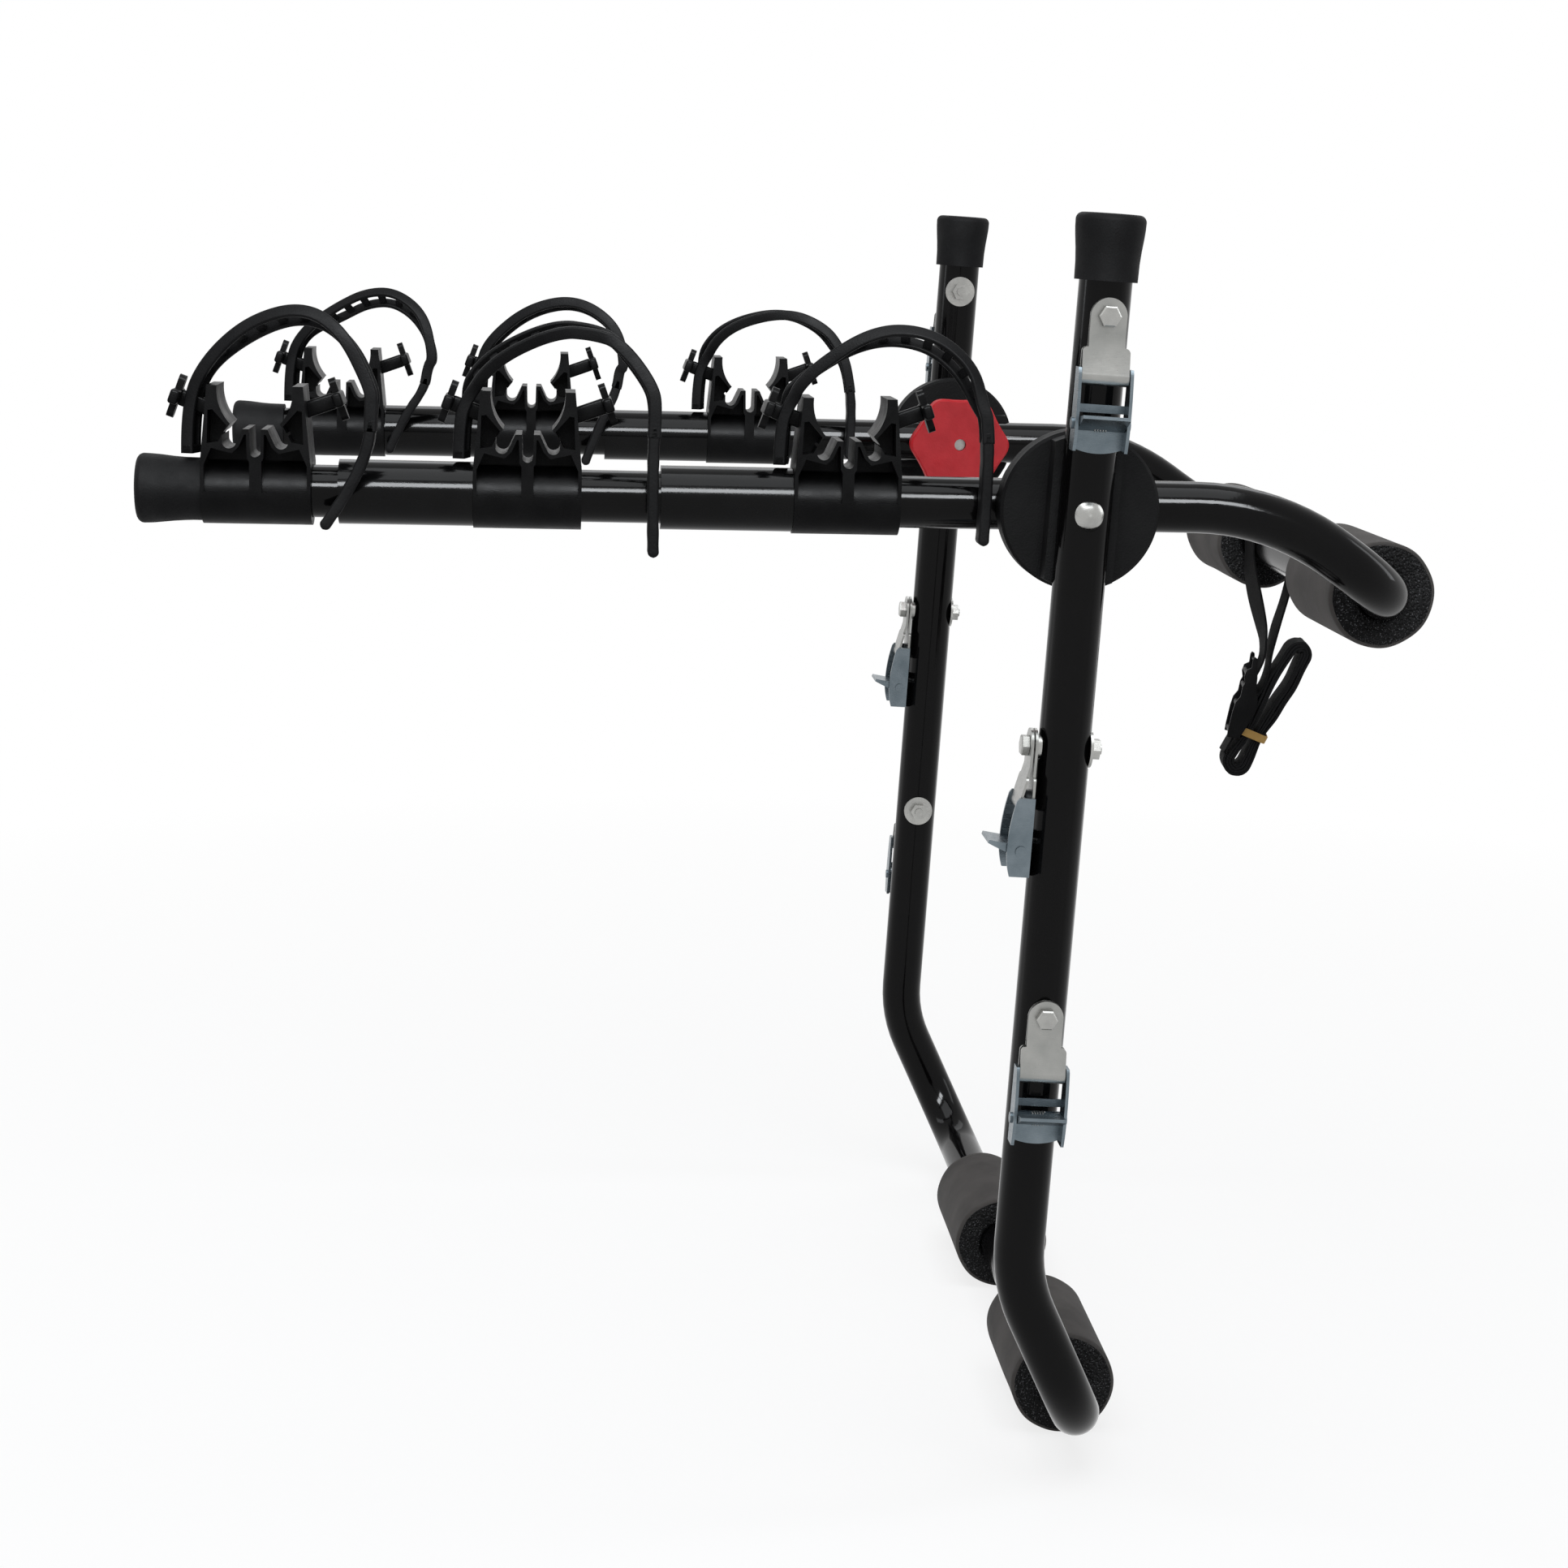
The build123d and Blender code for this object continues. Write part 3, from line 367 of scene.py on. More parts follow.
def sweep(line, wide, normal, shapes, closed_ends=True):
    """Vertices, faces and UVs of a closed outline, or one for each point, carried along a line."""
    s = lengths_along(line) / MM
    if not isinstance(shapes[0], list):
        shapes = [shapes] * len(line)
    verts, uvs = [], []
    for i, p in enumerate(line):
        for a, b in shapes[i]:
            verts.append(p + wide[i] * a + normal[i] * b)
            uvs.append((float(s[i]), float(a / MM)))
    k = len(shapes[0])
    faces = ring_faces(len(line), k)
    if closed_ends:
        faces.append(tuple(range(k))[::-1])
        faces.append(tuple(len(verts) - k + j for j in range(k)))
    return verts, faces, uvs


def round_rect(w, t, r, n):
    pts = []
    for cx, cy, start in ((1, 1, 0), (-1, 1, 90), (-1, -1, 180), (1, -1, 270)):
        for i in range(n + 1):
            a = math.radians(start + 90 * i / n)
            pts.append((cx * (w / 2 - r) + r * math.cos(a), cy * (t / 2 - r) + r * math.sin(a)))
    return pts


def nurbs_line(name, points):
    """The line of a NURBS curve of order 3 that ends at its first and last points."""
    curve = bpy.data.curves.new(name, "CURVE")
    curve.dimensions = "3D"
    curve.resolution_u = 16
    spline = curve.splines.new("NURBS")
    spline.points.add(len(points) - 1)
    for point, co in zip(spline.points, points):
        point.co = (*co, 1.0)
    spline.order_u = 3
    spline.use_endpoint_u = True
    holder = bpy.data.objects.new(name, curve)
    bpy.context.scene.collection.objects.link(holder)
    mesh = bpy.data.meshes.new_from_object(holder)
    line = np.array([v.co[:] for v in mesh.vertices])
    bpy.data.objects.remove(holder)
    bpy.data.curves.remove(curve)
    bpy.data.meshes.remove(mesh)
    return line


# Webbing that hangs from the bar on the car side, with its route in X and Z

webbing_y, webbing_w, webbing_t = 66.0, 25.0, 1.5
webbing_route = [
    (186.8, -155.0), (193.5, -146.0), (201.0, -127.0), (187.6, -80.0), (184.95, -58.0), (184.95, -38.9),
    (217.05, -38.9), (217.05, -58.0), (214.2, -84.0), (203.6, -122.0), (202.4, -148.0),
    (192.0, -164.5), (173.4, -200.5),
]
legs_top, legs_long, legs_middle_x = -0.060, 0.062, 0.2005
legs_turns = (math.radians(-10.0), math.radians(4.0))
bundle_turn, bundle_turn_top, bundle_turn_long = math.radians(7.0), -0.108, 0.03


def make_webbing_strap(line, material):
    across = []
    for x, _, z in line:
        hang = math.sin(math.pi * min(max((legs_top - z) / legs_long, 0), 1))
        turn = legs_turns[0 if x < legs_middle_x else 1] * hang
        turn += bundle_turn * float(ease((bundle_turn_top - z) / bundle_turn_long))
        across.append((math.sin(turn), math.cos(turn), 0))
    wide, normal = ribbon_frames(line, np.array(across))
    shape = round_rect(webbing_w * MM, webbing_t * MM, 0.6 * MM, 3)
    verts, faces, uvs = sweep(line, wide, normal, shape)
    strap = new_piece("webbing_strap_woven", verts, faces, material, uvs)
    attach(strap, "webbing")
    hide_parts("webbing_strap")
    return strap


# The wound part, between the middles of its upper and lower bends

hank_top = np.array((222.5, -130.0))
hank_bottom = np.array((184.0, -206.0))
hank_length = np.linalg.norm(hank_top - hank_bottom)
hank_axis = (hank_top - hank_bottom) / hank_length
hank_side = np.array((hank_axis[1], -hank_axis[0]))
hank_turns, hank_step, hank_core, hank_arc_steps = 4, 2.0, 2.4, 12
hank_w, hank_t, hank_swell = webbing_w - 1.2, 1.35, 1.48
# Up the hank: where the band draws it in, where it gapes, where it is slack, and how it is pressed
waist_at, waist_long, waist_share = 20, 15, 0.27
gape_at, gape_long, gape_by = hank_length * 0.76, 15, 0.4
slack_at, slack_long, slack_by = hank_length * 0.62, 26, 0.3
press_spread, press_foot, press_rise, press_long = 1.08, 0.8, 0.9, 34
belly_by, sway_by = 0.02, 0.5


def hank_waist(up):
    """The share of its width that the hank keeps, least where the band draws it in."""
    return 1 - waist_share * bell(up, waist_at, waist_long)


def hank_line():
    """The middle of the wound webbing in X and Z, pressed together and open near its top."""
    shift = hank_side * hank_step / 4
    centres = (hank_top + shift, hank_bottom - shift)
    points = []
    for k in range(2 * hank_turns):
        r = hank_core + webbing_t / 2 + k * hank_step / 2
        sign = 1 if k % 2 == 0 else -1
        for i in range(hank_arc_steps + 1):
            a = math.pi * i / hank_arc_steps
            spoke = -hank_side * math.cos(a) + hank_axis * math.sin(a)
            points.append(centres[k % 2] + sign * r * spoke)
    line, _ = even(np.array(points), 1.5)
    out = []
    for n, p in enumerate(line):
        up = float((p - hank_bottom) @ hank_axis)
        aside = float((p - hank_bottom) @ hank_side)
        inner = min(abs(aside) / 2, 1)
        press = press_foot + press_rise * float(ease(up / press_long))
        pressed = press_spread * abs(aside) - press * inner
        gaping = abs(aside) + gape_by * inner
        gape = bell(up, gape_at, gape_long)
        width = math.copysign((1 - gape) * pressed + gape * gaping, aside)
        belly = 1 + belly_by * math.sin(n * 0.37)
        slack = slack_by * math.sin(0.11 * n) * bell(up, slack_at, slack_long)
        out.append(hank_bottom + hank_axis * up + hank_side * (width * hank_waist(up) * belly + slack))
    return np.array(out)


def make_hank(material):
    """Turns of webbing as thick as their spacing, so that they lie together."""
    flat = hank_line()
    sway = webbing_y + sway_by * np.sin(np.arange(len(flat)) * 0.05)
    coil = np.stack([flat[:, 0], sway, flat[:, 1]], 1) * MM
    wide, normal = ribbon_frames(coil, (math.sin(bundle_turn), math.cos(bundle_turn), 0))
    normal *= hank_swell * hank_waist((flat - hank_bottom) @ hank_axis)[:, None]
    verts, faces, uvs = sweep(coil, wide, normal, round_rect(hank_w * MM, hank_t * MM, 0.4 * MM, 3))
    hank = new_piece("webbing_hank_woven", verts, faces, material, uvs)
    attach(hank, "webbing")
    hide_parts("webbing_hank")
    return hank


band_up, band_half_w, band_half_d, band_corner = 21.5, webbing_w / 2 + 0.75, 9.9, 2.2
band_w, band_t = 5.6, 1.0
band_wave, band_wave_turn, band_slant, band_skew = 1.3, 1.3, 0.09, 0.12


def make_band(material):
    centre = hank_bottom + hank_axis * band_up
    loop = []
    for a, b in round_rect(2 * band_half_w, 2 * band_half_d, band_corner, 6):
        slant = band_wave * math.sin(a / band_half_w * band_wave_turn) + band_slant * b
        x, z = centre + hank_side * (b + band_skew * a) + hank_axis * slant
        loop.append((x * MM, (webbing_y + a) * MM, z * MM))
    loop.append(loop[0])
    line, _ = even(np.array(loop), 0.0012)
    wide, normal = ribbon_frames(line, (hank_axis[0], 0, hank_axis[1]))
    shape = round_rect(band_w * MM, band_t * MM, 0.4 * MM, 3)
    verts, faces, uvs = sweep(line, wide, normal, shape, closed_ends=False)
    band = new_piece("webbing_band_tan", verts, faces, material, uvs)
    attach(band, "webbing")
    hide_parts("webbing_band")
    return band


# Plastic buckle of the webbing: the outline of its side plates, and the bars with their radii

buckle_side = [
    (189.3, -131.5), (191.2, -132.7), (192.0, -146.1), (191.6, -156.0), (193.1, -161.9), (191.7, -170.2),
    (187.7, -178.3), (183.1, -186.4), (179.5, -189.5), (172.5, -188.0), (173.2, -182.7), (175.6, -169.9),
    (177.4, -163.7), (180.7, -159.5), (181.9, -152.4), (183.4, -149.7), (182.7, -145.0), (184.1, -140.8),
    (187.6, -139.1), (188.2, -133.2),
]
buckle_bars = (
    (190.2, -135.5, 1.1), (184.9, -143.5, 1.7), (184.0, -153.5, 1.9), (179.8, -166.5, 2.2),
    (175.4, -185.0, 2.2),
)
buckle_plates_y = ((50.4, 53.3), (78.7, 81.6))
buckle_bars_y = (52.0, 80.0)
buckle_skew, buckle_bar_sides = 0.17, 12


def buckle_prism(outline, between):
    """Vertices and side faces of an outline in X and Z, run along Y and turned as the buckle is."""
    k = len(outline)
    verts = []
    for y in between:
        turned = buckle_skew * (y - buckle_plates_y[0][0])
        verts += [((x + turned) * MM, y * MM, z * MM) for x, z in outline]
    return verts, [(i, k + i, k + (i + 1) % k, (i + 1) % k) for i in range(k)]


def make_webbing_buckle(material):
    """Ladder buckle: two side plates and the bars that the webbing runs round."""
    parts = []
    k = len(buckle_side)
    ends = [tuple(range(k)), tuple(range(2 * k - 1, k - 1, -1))]
    for between in buckle_plates_y:
        verts, faces = buckle_prism(buckle_side, between)
        parts.append((verts, ends + faces))
    for x, z, r in buckle_bars:
        angles = [2 * math.pi * i / buckle_bar_sides for i in range(buckle_bar_sides)]
        outline = [(x + r * math.cos(a), z + r * math.sin(a)) for a in angles]
        parts.append(buckle_prism(outline, buckle_bars_y))
    piece = joined_piece("webbing_buckle_moulded", parts, material)
    bevel = piece.modifiers.new("edges", "BEVEL")
    bevel.width, bevel.segments, bevel.limit_method = 0.5 * MM, 2, "ANGLE"
    crease(piece)
    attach(piece, "webbing")
    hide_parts("webbing_buckle")
    return piece


def make_webbing(weave_black, plastic, tan):
    route = [(x * MM, webbing_y * MM, z * MM) for x, z in webbing_route]
    line, _ = even(nurbs_line("webbing_route", route), 0.003)
    strap = make_webbing_strap(line, weave_black)
    hank = make_hank(weave_black)
    band = make_band(tan)
    buckle = make_webbing_buckle(plastic)


# Ladder straps, each with the X and Z of its arch and its free end from the middle of its cradle

arm_y, cradle_half = 254.0, 30.8
cradle_x = {"near": (-498.8, -346.0, -162.9), "far": (-487.0, -348.3, -186.8)}
strap_start = (-37.8, 20.5)
strap_routes = {
    "near_1": (
        ((-37.8, 47), (-28, 71), (0.7, 93.7), (31.3, 102.1), (54.1, 88.9), (69.4, 59.6), (69.6, 36)),
        ((65.5, 50), (64.5, 28), (52, 1), (38.4, -18.4)),
    ),
    "near_2": (
        ((-37.8, 52.5), (-22.5, 76.8), (15.3, 95.5), (40.3, 93.9), (54.1, 87.5), (72.3, 65), (74.2, 36)),
        ((72, 52), (70.5, 20), (71.7, -31.5)),
    ),
    "near_3": (
        ((-37.8, 54.5), (-21.5, 74.3), (12.9, 95.8), (44.3, 95.2), (67.2, 78.7), (76.8, 55.9), (78.2, 36)),
        ((78, 50), (79.3, 18), (77.7, -22)),
    ),
    "far_1": (
        ((-37.8, 46.5), (-29.3, 69.5), (0, 86.5), (21, 97), (42.4, 98), (63, 83), (71, 55.5), (66.9, 36)),
        ((63, 48), (61, 33), (46, 12), (34.7, -14.2)),
    ),
    "far_2": (
        ((-37.8, 49.5), (-28.9, 68.5), (0.6, 91.7), (36.4, 98.7), (66.5, 79.4), (71.4, 51), (67, 36)),
        ((64.5, 50), (62.5, 34), (50, 8), (39.4, -20.3)),
    ),
    "far_3": (
        ((-37.8, 43.1), (-30.4, 68.9), (-9.9, 85.5), (26.6, 93.9), (54.4, 83.4), (68.5, 65.5), (75.3, 36)),
        ((71.5, 50), (75.5, 20), (73.4, -12.5)),
    ),
}
# What the free end has to clear, the way the arch leans over, and where along it that lean comes in
strap_lean = {
    "near_1": (18.4, (0.30, 0.85, -0.45), (40, 50)),
    "near_2": (18.4, (-0.30, 0.93, 0.20), (24, 22)),
    "near_3": (15.0, (-0.45, 0.77, -0.45), (24, 22)),
    "far_1": (18.4, (0.10, 0.70, -0.70), (40, 50)),
    "far_2": (18.4, (0.10, 0.95, -0.25), (24, 22)),
    "far_3": (18.4, (-0.30, 0.95, 0.0), (24, 22)),
}
strap_gap, ladder_foot, root_long, tab_overlap = 0.45, 36.0, 4.5, 6
strap_w, rail, rail_t, web_t, tab_t = 14.5, 3.2, 7.2, 3.0, 6.4
web_edge, web_edge_share = 0.8, 0.35
tab_edge, tab_lead, tab_narrow, tab_rib, tab_rib_at = 3.2, 12, 0.10, 0.03, 14
# Before the ladder's end the width turns along Y, beginning this far ahead and over this length
settle_ahead, settle_over = 48, 40
eye_long, window_long, window_pitch = 13.4, 8.0, 13.5
hook_z, hook_root, hook_reach, hook_tilt = 45.0, 25.0, 43.5, math.radians(20.0)


def cradles():
    """The name of each cradle and its middle on the arm's axis."""
    for word, side in sides.items():
        for i, x in enumerate(cradle_x[word], 1):
            yield f"{word}_{i}", np.array((x + cradle_half, side * arm_y, 0.0))


def strap_line(name):
    """The middle line of a strap, the way its width runs, and where its ladder ends."""
    arch, tail = strap_routes[name]
    clear_of, lean, (lean_at, lean_over) = strap_lean[name]
    start_x = strap_start[0]
    aside = clear_of + strap_gap + strap_w / 2
    swing = math.asin(aside / (arch[-1][0] - start_x))

    def turned(p):
        reach = p[0] - start_x
        return (start_x + reach * math.cos(swing), -reach * math.sin(swing), p[1])

    control = [turned(p) for p in (strap_start,) + arch[:-1]] + [(x, -aside, z) for x, z in tail]
    line, total = even(nurbs_line("strap_route", control), 0.5)
    s = np.linspace(0, total, len(line))
    ladder_end = float(s[np.nonzero(line[:, 2] > ladder_foot)[0][-1]])
    hung = 1 - ease((s - lean_at) / lean_over)[:, None]
    beside = ease((s - ladder_end + settle_ahead) / settle_over)[:, None]
    lean = np.array(lean) / np.linalg.norm(lean)
    across = hung * np.array((math.sin(swing), math.cos(swing), 0)) + (1 - hung) * lean
    across = (1 - beside) * across + beside * np.array((0.0, 1.0, 0.0))
    return line, s, across, ladder_end


def rounding(distance, radius, least=0.0):
    """The share of the full thickness at a distance from a rounded end."""
    return math.sqrt(max(least, 1 - (1 - min(distance, radius) / radius) ** 2))


def web_shapes(want, a, b):
    """Outlines of the web between two windows, thinner at their edges."""
    inner = round_rect(strap_w - rail, web_t, 0.8, 3)
    shapes = []
    for u in want:
        thick = web_edge_share + (1 - web_edge_share) * rounding(min(u - a, b - u), web_edge)
        shapes.append([(x, y * thick) for x, y in inner])
    return shapes


def tab_shapes(want, ladder_end, total):
    """Outlines of the closed free end, which grows out of the ladder and is lightly ribbed."""
    outline = round_rect(strap_w, tab_t, 1.5, 4)
    shapes = []
    for u in want:
        to_end = total - u
        closing = rounding(to_end, tab_edge, 0.02)
        lead = min(1.0, 0.5 + (u - ladder_end + tab_overlap) / tab_lead)
        rib = 1 + tab_rib * math.cos((to_end - tab_rib_at) / window_pitch * 2 * math.pi)
        narrow = 1 - tab_narrow + tab_narrow * closing
        shapes.append([(x * narrow, y * closing * lead * rib) for x, y in outline])
    return shapes


def make_ladder_strap(name, middle, material):
    line, s, across, ladder_end = strap_line(name)
    total = s[-1]
    parts = []

    def run(a, b, step, shapes, offset=0.0):
        """Add the strap's part between two lengths, with one outline or a function of the lengths."""
        want = steps(a, b, step)
        points = at_lengths(line, s, want)
        wide, normal = ribbon_frames(points, at_lengths(across, s, want))
        verts, faces, uvs = sweep(
            points + wide * offset, wide, normal, shapes(want) if callable(shapes) else shapes)
        parts.append(([(p + middle) * MM for p in verts], faces, uvs))

    for side in (-1, 1):
        run(0, ladder_end, 1.0, round_rect(rail, rail_t, 1.15, 4), side * (strap_w - rail) / 2)
    run(0, root_long, 0.75, round_rect(strap_w, rail_t, 1.3, 4))

    above_hook = line[:, 2] - hook_z + (line[:, 0] + hook_root) * math.tan(hook_tilt)
    eye_at = float(s[np.nonzero(above_hook > 0)[0][0]])
    edges = [0]
    for at in np.arange(eye_at, ladder_end - window_long, window_pitch):
        half = (eye_long if at == eye_at else window_long) / 2
        edges += [at - half, at + half]
    edges.append(ladder_end)
    for a, b in zip(edges[::2], edges[1::2]):
        run(a, b, 0.4, lambda want: web_shapes(want, a, b))
    run(ladder_end - tab_overlap, total, 0.5, lambda want: tab_shapes(want, ladder_end, total))

    piece = joined_piece(f"strap_{name}", parts, material)
    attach(piece, f"holder_{name}")
    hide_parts(f"ladder_strap_{name}")


def make_hooks(name, middle, material):
    """Fuller T-shaped hooks with rounded edges, round the plain ones of a cradle."""
    length = (hook_reach - hook_root) / math.cos(hook_tilt)
    # Each box from and to along the hook, with half its width and half its height
    stem = ((1.0, length + 0.4), 2.45, 4.6)
    bar = ((length - 0.5, length + 5.0), 14.2, 4.2)
    box_faces = [(0, 1, 2, 3), (7, 6, 5, 4), (0, 4, 5, 1), (1, 5, 6, 2), (2, 6, 7, 3), (3, 7, 4, 0)]
    parts = []
    for sx in (-1, 1):
        out = np.array((sx * math.cos(hook_tilt), 0, math.sin(hook_tilt)))
        up = np.array((-sx * math.sin(hook_tilt), 0, math.cos(hook_tilt)))
        base = middle + np.array((sx * hook_root, 0, hook_z))
        for between, half_y, half_up in (stem, bar):
            corners = ((-half_y, -half_up), (half_y, -half_up), (half_y, half_up), (-half_y, half_up))
            verts = []
            for a in between:
                verts += [(base + out * a + np.array((0, b, 0)) + up * c) * MM for b, c in corners]
            parts.append((verts, box_faces if sx < 0 else [face[::-1] for face in box_faces]))
    piece = joined_piece(f"hooks_{name}", parts, material)
    bevel = piece.modifiers.new("edges", "BEVEL")
    bevel.width, bevel.segments = 1.6 * MM, 4
    crease(piece)
    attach(piece, f"holder_{name}")


# Foam pads: handled tube foam, a little out of round, with cut ends

pad_bore, pad_edge, pad_edge_steps = 0.0153, 0.0022, 4
pad_turns, pad_rows, pad_end_rings = 96, 30, 8
# Shares of the radius that flats, waves and dents take off, and how far an end waves, ripples and sinks
pad_flats, pad_waves, pad_dents = 0.010, 0.008, 0.016
pad_end_wave, pad_ripple, pad_sink = 0.0007, 0.0004, 0.0009


def make_pad(node, body, seed, skin, cut):
    low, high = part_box(node)
    middle = np.array((low + high) / 2)
    half, r = (high.y - low.y) / 2, (high.x - low.x) / 2
    rng = np.random.default_rng(seed)
    phase = rng.uniform(0, 2 * math.pi, 6)
    angles = [2 * math.pi * j / pad_turns for j in range(pad_turns)]

    def dent(a, t, at, width, along, length):
        off = math.remainder(a - at, 2 * math.pi)
        return math.exp(-((off / width) ** 2 + ((t - along) / length) ** 2))

    def out_of_round(a, t):
        """Share of the radius taken off at an angle and a place along the pad."""
        flat = 0.5 - 0.5 * math.cos(8 * a + phase[0] + 0.35 * t)
        wave = 0.5 + 0.5 * math.sin(3 * a + phase[1] + 0.9 * t)
        dents = dent(a, t, phase[2], width=0.34, along=0.45, length=0.5)
        dents += dent(a, t, phase[3], width=0.26, along=-0.7, length=0.4)
        return pad_flats * flat + pad_waves * wave + pad_dents * dents

    rim = []
    for k in range(pad_edge_steps + 1):
        a = math.pi / 2 * k / pad_edge_steps
        rim.append((1 - pad_edge / r * (1 - math.sin(a)), -half + pad_edge * (1 - math.cos(a))))
    straight = 2 * half - 2 * pad_edge
    rows = [(1.0, -half + pad_edge + straight * k / pad_rows) for k in range(1, pad_rows)]
    profile = rim + rows + [(f, -y) for f, y in reversed(rim)]
    verts = []
    for f, y in profile:
        for a in angles:
            radius = r * f * (1 - out_of_round(a, y / half))
            end_wave = abs(pad_end_wave * math.sin(2 * a + phase[4]) * abs(y / half) ** 6)
            verts.append((
                middle[0] + radius * math.cos(a),
                middle[1] + y - math.copysign(1, y) * end_wave,
                middle[2] + radius * math.sin(a),
            ))
    faces = ring_faces(len(profile), pad_turns)
    skin_faces = len(faces)
    last_ring = len(verts) - pad_turns
    ends = []
    for outer, side in ((0, -1), (last_ring, 1)):
        last = outer
        for k in range(1, pad_end_rings + 1):
            t = k / pad_end_rings
            start = len(verts)
            for j, a in enumerate(angles):
                o = np.array(verts[outer + j])
                inner = (middle[0] + pad_bore * math.cos(a), o[1], middle[2] + pad_bore * math.sin(a))
                p = o * (1 - t) + np.array(inner) * t
                ripple = pad_ripple * math.sin(5 * a + 4 * t + phase[5]) * t * (1 - t)
                p[1] += side * (ripple - pad_sink * t ** 3)
                verts.append(tuple(p))
                q = (j + 1) % pad_turns
                face = (last + j, start + j, start + q, last + q)
                faces.append(face if side < 0 else (face[0], face[3], face[2], face[1]))
            last = start
        ends.append(last)
    for j in range(pad_turns):
        q = (j + 1) % pad_turns
        faces.append((ends[0] + j, ends[1] + j, ends[1] + q, ends[0] + q))
    piece = new_piece(f"{node}_foam", verts, faces, [skin, cut])
    for polygon in piece.data.polygons[skin_faces:]:
        polygon.material_index = 1
    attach(piece, body)
    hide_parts(node)


# Lobed knobs of the hubs, each round the axis of its CAD piece, with a steel ring at its centre

knob_r, knob_lobes, knob_lobe, knob_lobe_flat, knob_turns = 34.3, 6, 2.0, 0.12, 180
knob_height, knob_waist, knob_chamfer, knob_edge, knob_lip, knob_steps = 19.0, 7.0, 1.2, 5.0, 0.5, 8
knob_dish_r, knob_dish, knob_recess, knob_recess_floor = 20.6, 4.0, 8.6, 12.0
knob_ring, knob_pocket, knob_bore, knob_nut_t = 5.3, 7.56, 4.3, 6.5


def knob_profile():
    """Rows of radius, height and whether the row is lobed, where a lobed radius is from the outline."""
    sphere = (knob_dish_r ** 2 + knob_dish ** 2) / (2 * knob_dish)
    rows = [(knob_bore, 0.0, 0), (-knob_chamfer, 0.0, 1), (0.0, knob_chamfer, 1), (0.0, knob_waist, 1)]
    for k in range(knob_steps + 1):
        a = math.pi / 2 * k / knob_steps
        rows.append((-knob_edge * (1 - math.cos(a)), knob_height - knob_edge * (1 - math.sin(a)), 1))
    lip = knob_dish_r + knob_lip
    for k in range(knob_steps + 1):
        r = lip - (lip - knob_recess) * k / knob_steps
        deep = sphere - math.sqrt(max(sphere ** 2 - r ** 2, 0))
        rows.append((r, knob_height - max(knob_dish - deep, 0), 0))
    top = rows[-1][1]
    floor = knob_recess_floor
    for r, height in (
        (knob_recess - 0.25, top - 0.1), (knob_recess - 0.4, top - 0.5), (knob_recess - 0.4, floor + 0.7),
        (knob_recess - 0.7, floor + 0.3), (knob_ring, floor + 0.3), (knob_ring, floor + 0.05),
        (knob_pocket, floor + 0.05), (knob_pocket, floor - knob_nut_t), (knob_bore, floor - knob_nut_t),
    ):
        rows.append((r, height, 0))
    return rows


def make_knob(word, side, material):
    """Six lobes, two of them level, an edge rolled over, a dished face and the recess of its nut."""
    low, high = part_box(f"hub_knob_{word}")
    x, z = (low.x + high.x) / 2 / MM, (low.z + high.z) / 2 / MM
    base = (high.y if side < 0 else low.y) / MM
    rows = knob_profile()
    verts = []
    for value, height, lobed in rows:
        for j in range(knob_turns):
            a = 2 * math.pi * j / knob_turns
            lobes = math.cos(knob_lobes * a) + knob_lobe_flat * math.cos(2 * knob_lobes * a)
            outline = knob_r + knob_lobe * lobes
            r = outline + value if lobed else value
            verts.append((
                (x + r * math.cos(a)) * MM,
                (base + side * height) * MM,
                (z + r * math.sin(a)) * MM,
            ))
    faces = ring_faces(len(rows), knob_turns, closed=True)
    if side < 0:
        faces = [face[::-1] for face in faces]
    piece = new_piece(f"knob_lobed_{word}", verts, faces, material)
    crease(piece, 38)
    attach(piece, f"knob_{word}")
    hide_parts(f"hub_knob_{word}")


# Cam springs, in the frame of each buckle's bolt on the leaning uprights

upright_lean, upright_y = math.radians(2.6), 303.0
buckle_at = {"top": 111.0, "middle": -135.0, "bottom": -291.0}
spring_turns, spring_steps, spring_r, spring_long = 5, 20, 4.05, 7.6
spring_wire, spring_wire_sides = 0.34, 8
spring_below, spring_out = 59.5, 22.4


def buckle_frame(kind, side):
    up = np.array((math.sin(upright_lean), 0, math.cos(upright_lean)))
    out = np.array((-up[2], 0, up[0])) if kind == "middle" else np.array((0.0, side, 0.0))
    origin = buckle_at[kind] * up + np.array((0, side * upright_y, 0))
    return origin, np.cross(up, out), up, out


def make_cam_spring(name, kind, side, material):
    origin, x, y, z = buckle_frame(kind, side)
    count = spring_turns * spring_steps
    line = []
    for i in range(count + 1):
        a = 2 * math.pi * i / spring_steps
        along = spring_long * (i / count - 0.5)
        line.append(origin + along * x + (spring_r * math.cos(a) - spring_below) * y
                    + (spring_r * math.sin(a) + spring_out) * z)
    line = np.array(line) * MM
    wide, normal = ribbon_frames(line, x)
    wire = spring_wire * MM
    angles = [2 * math.pi * k / spring_wire_sides for k in range(spring_wire_sides)]
    ring = [(wire * math.cos(a), wire * math.sin(a)) for a in angles]
    verts, faces, uvs = sweep(line, wide, normal, ring)
    piece = new_piece(f"cam_spring_{name}", verts, faces, material, uvs)
    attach(piece, f"clamp_{name}")


# Floor, world and lamps

white = (1, 1, 1, 1)
floor_r, floor_ring, floor_gap = 6, 64, 0.001
floor_fade, floor_fade_least = (0.7, 2.0), 0.80
world_light, world_seen = 0.22, 1.0
lamp_aim = Vector((-0.25, 0.0, 0.0))
lamp_colour = (0.94, 0.97, 1.0)
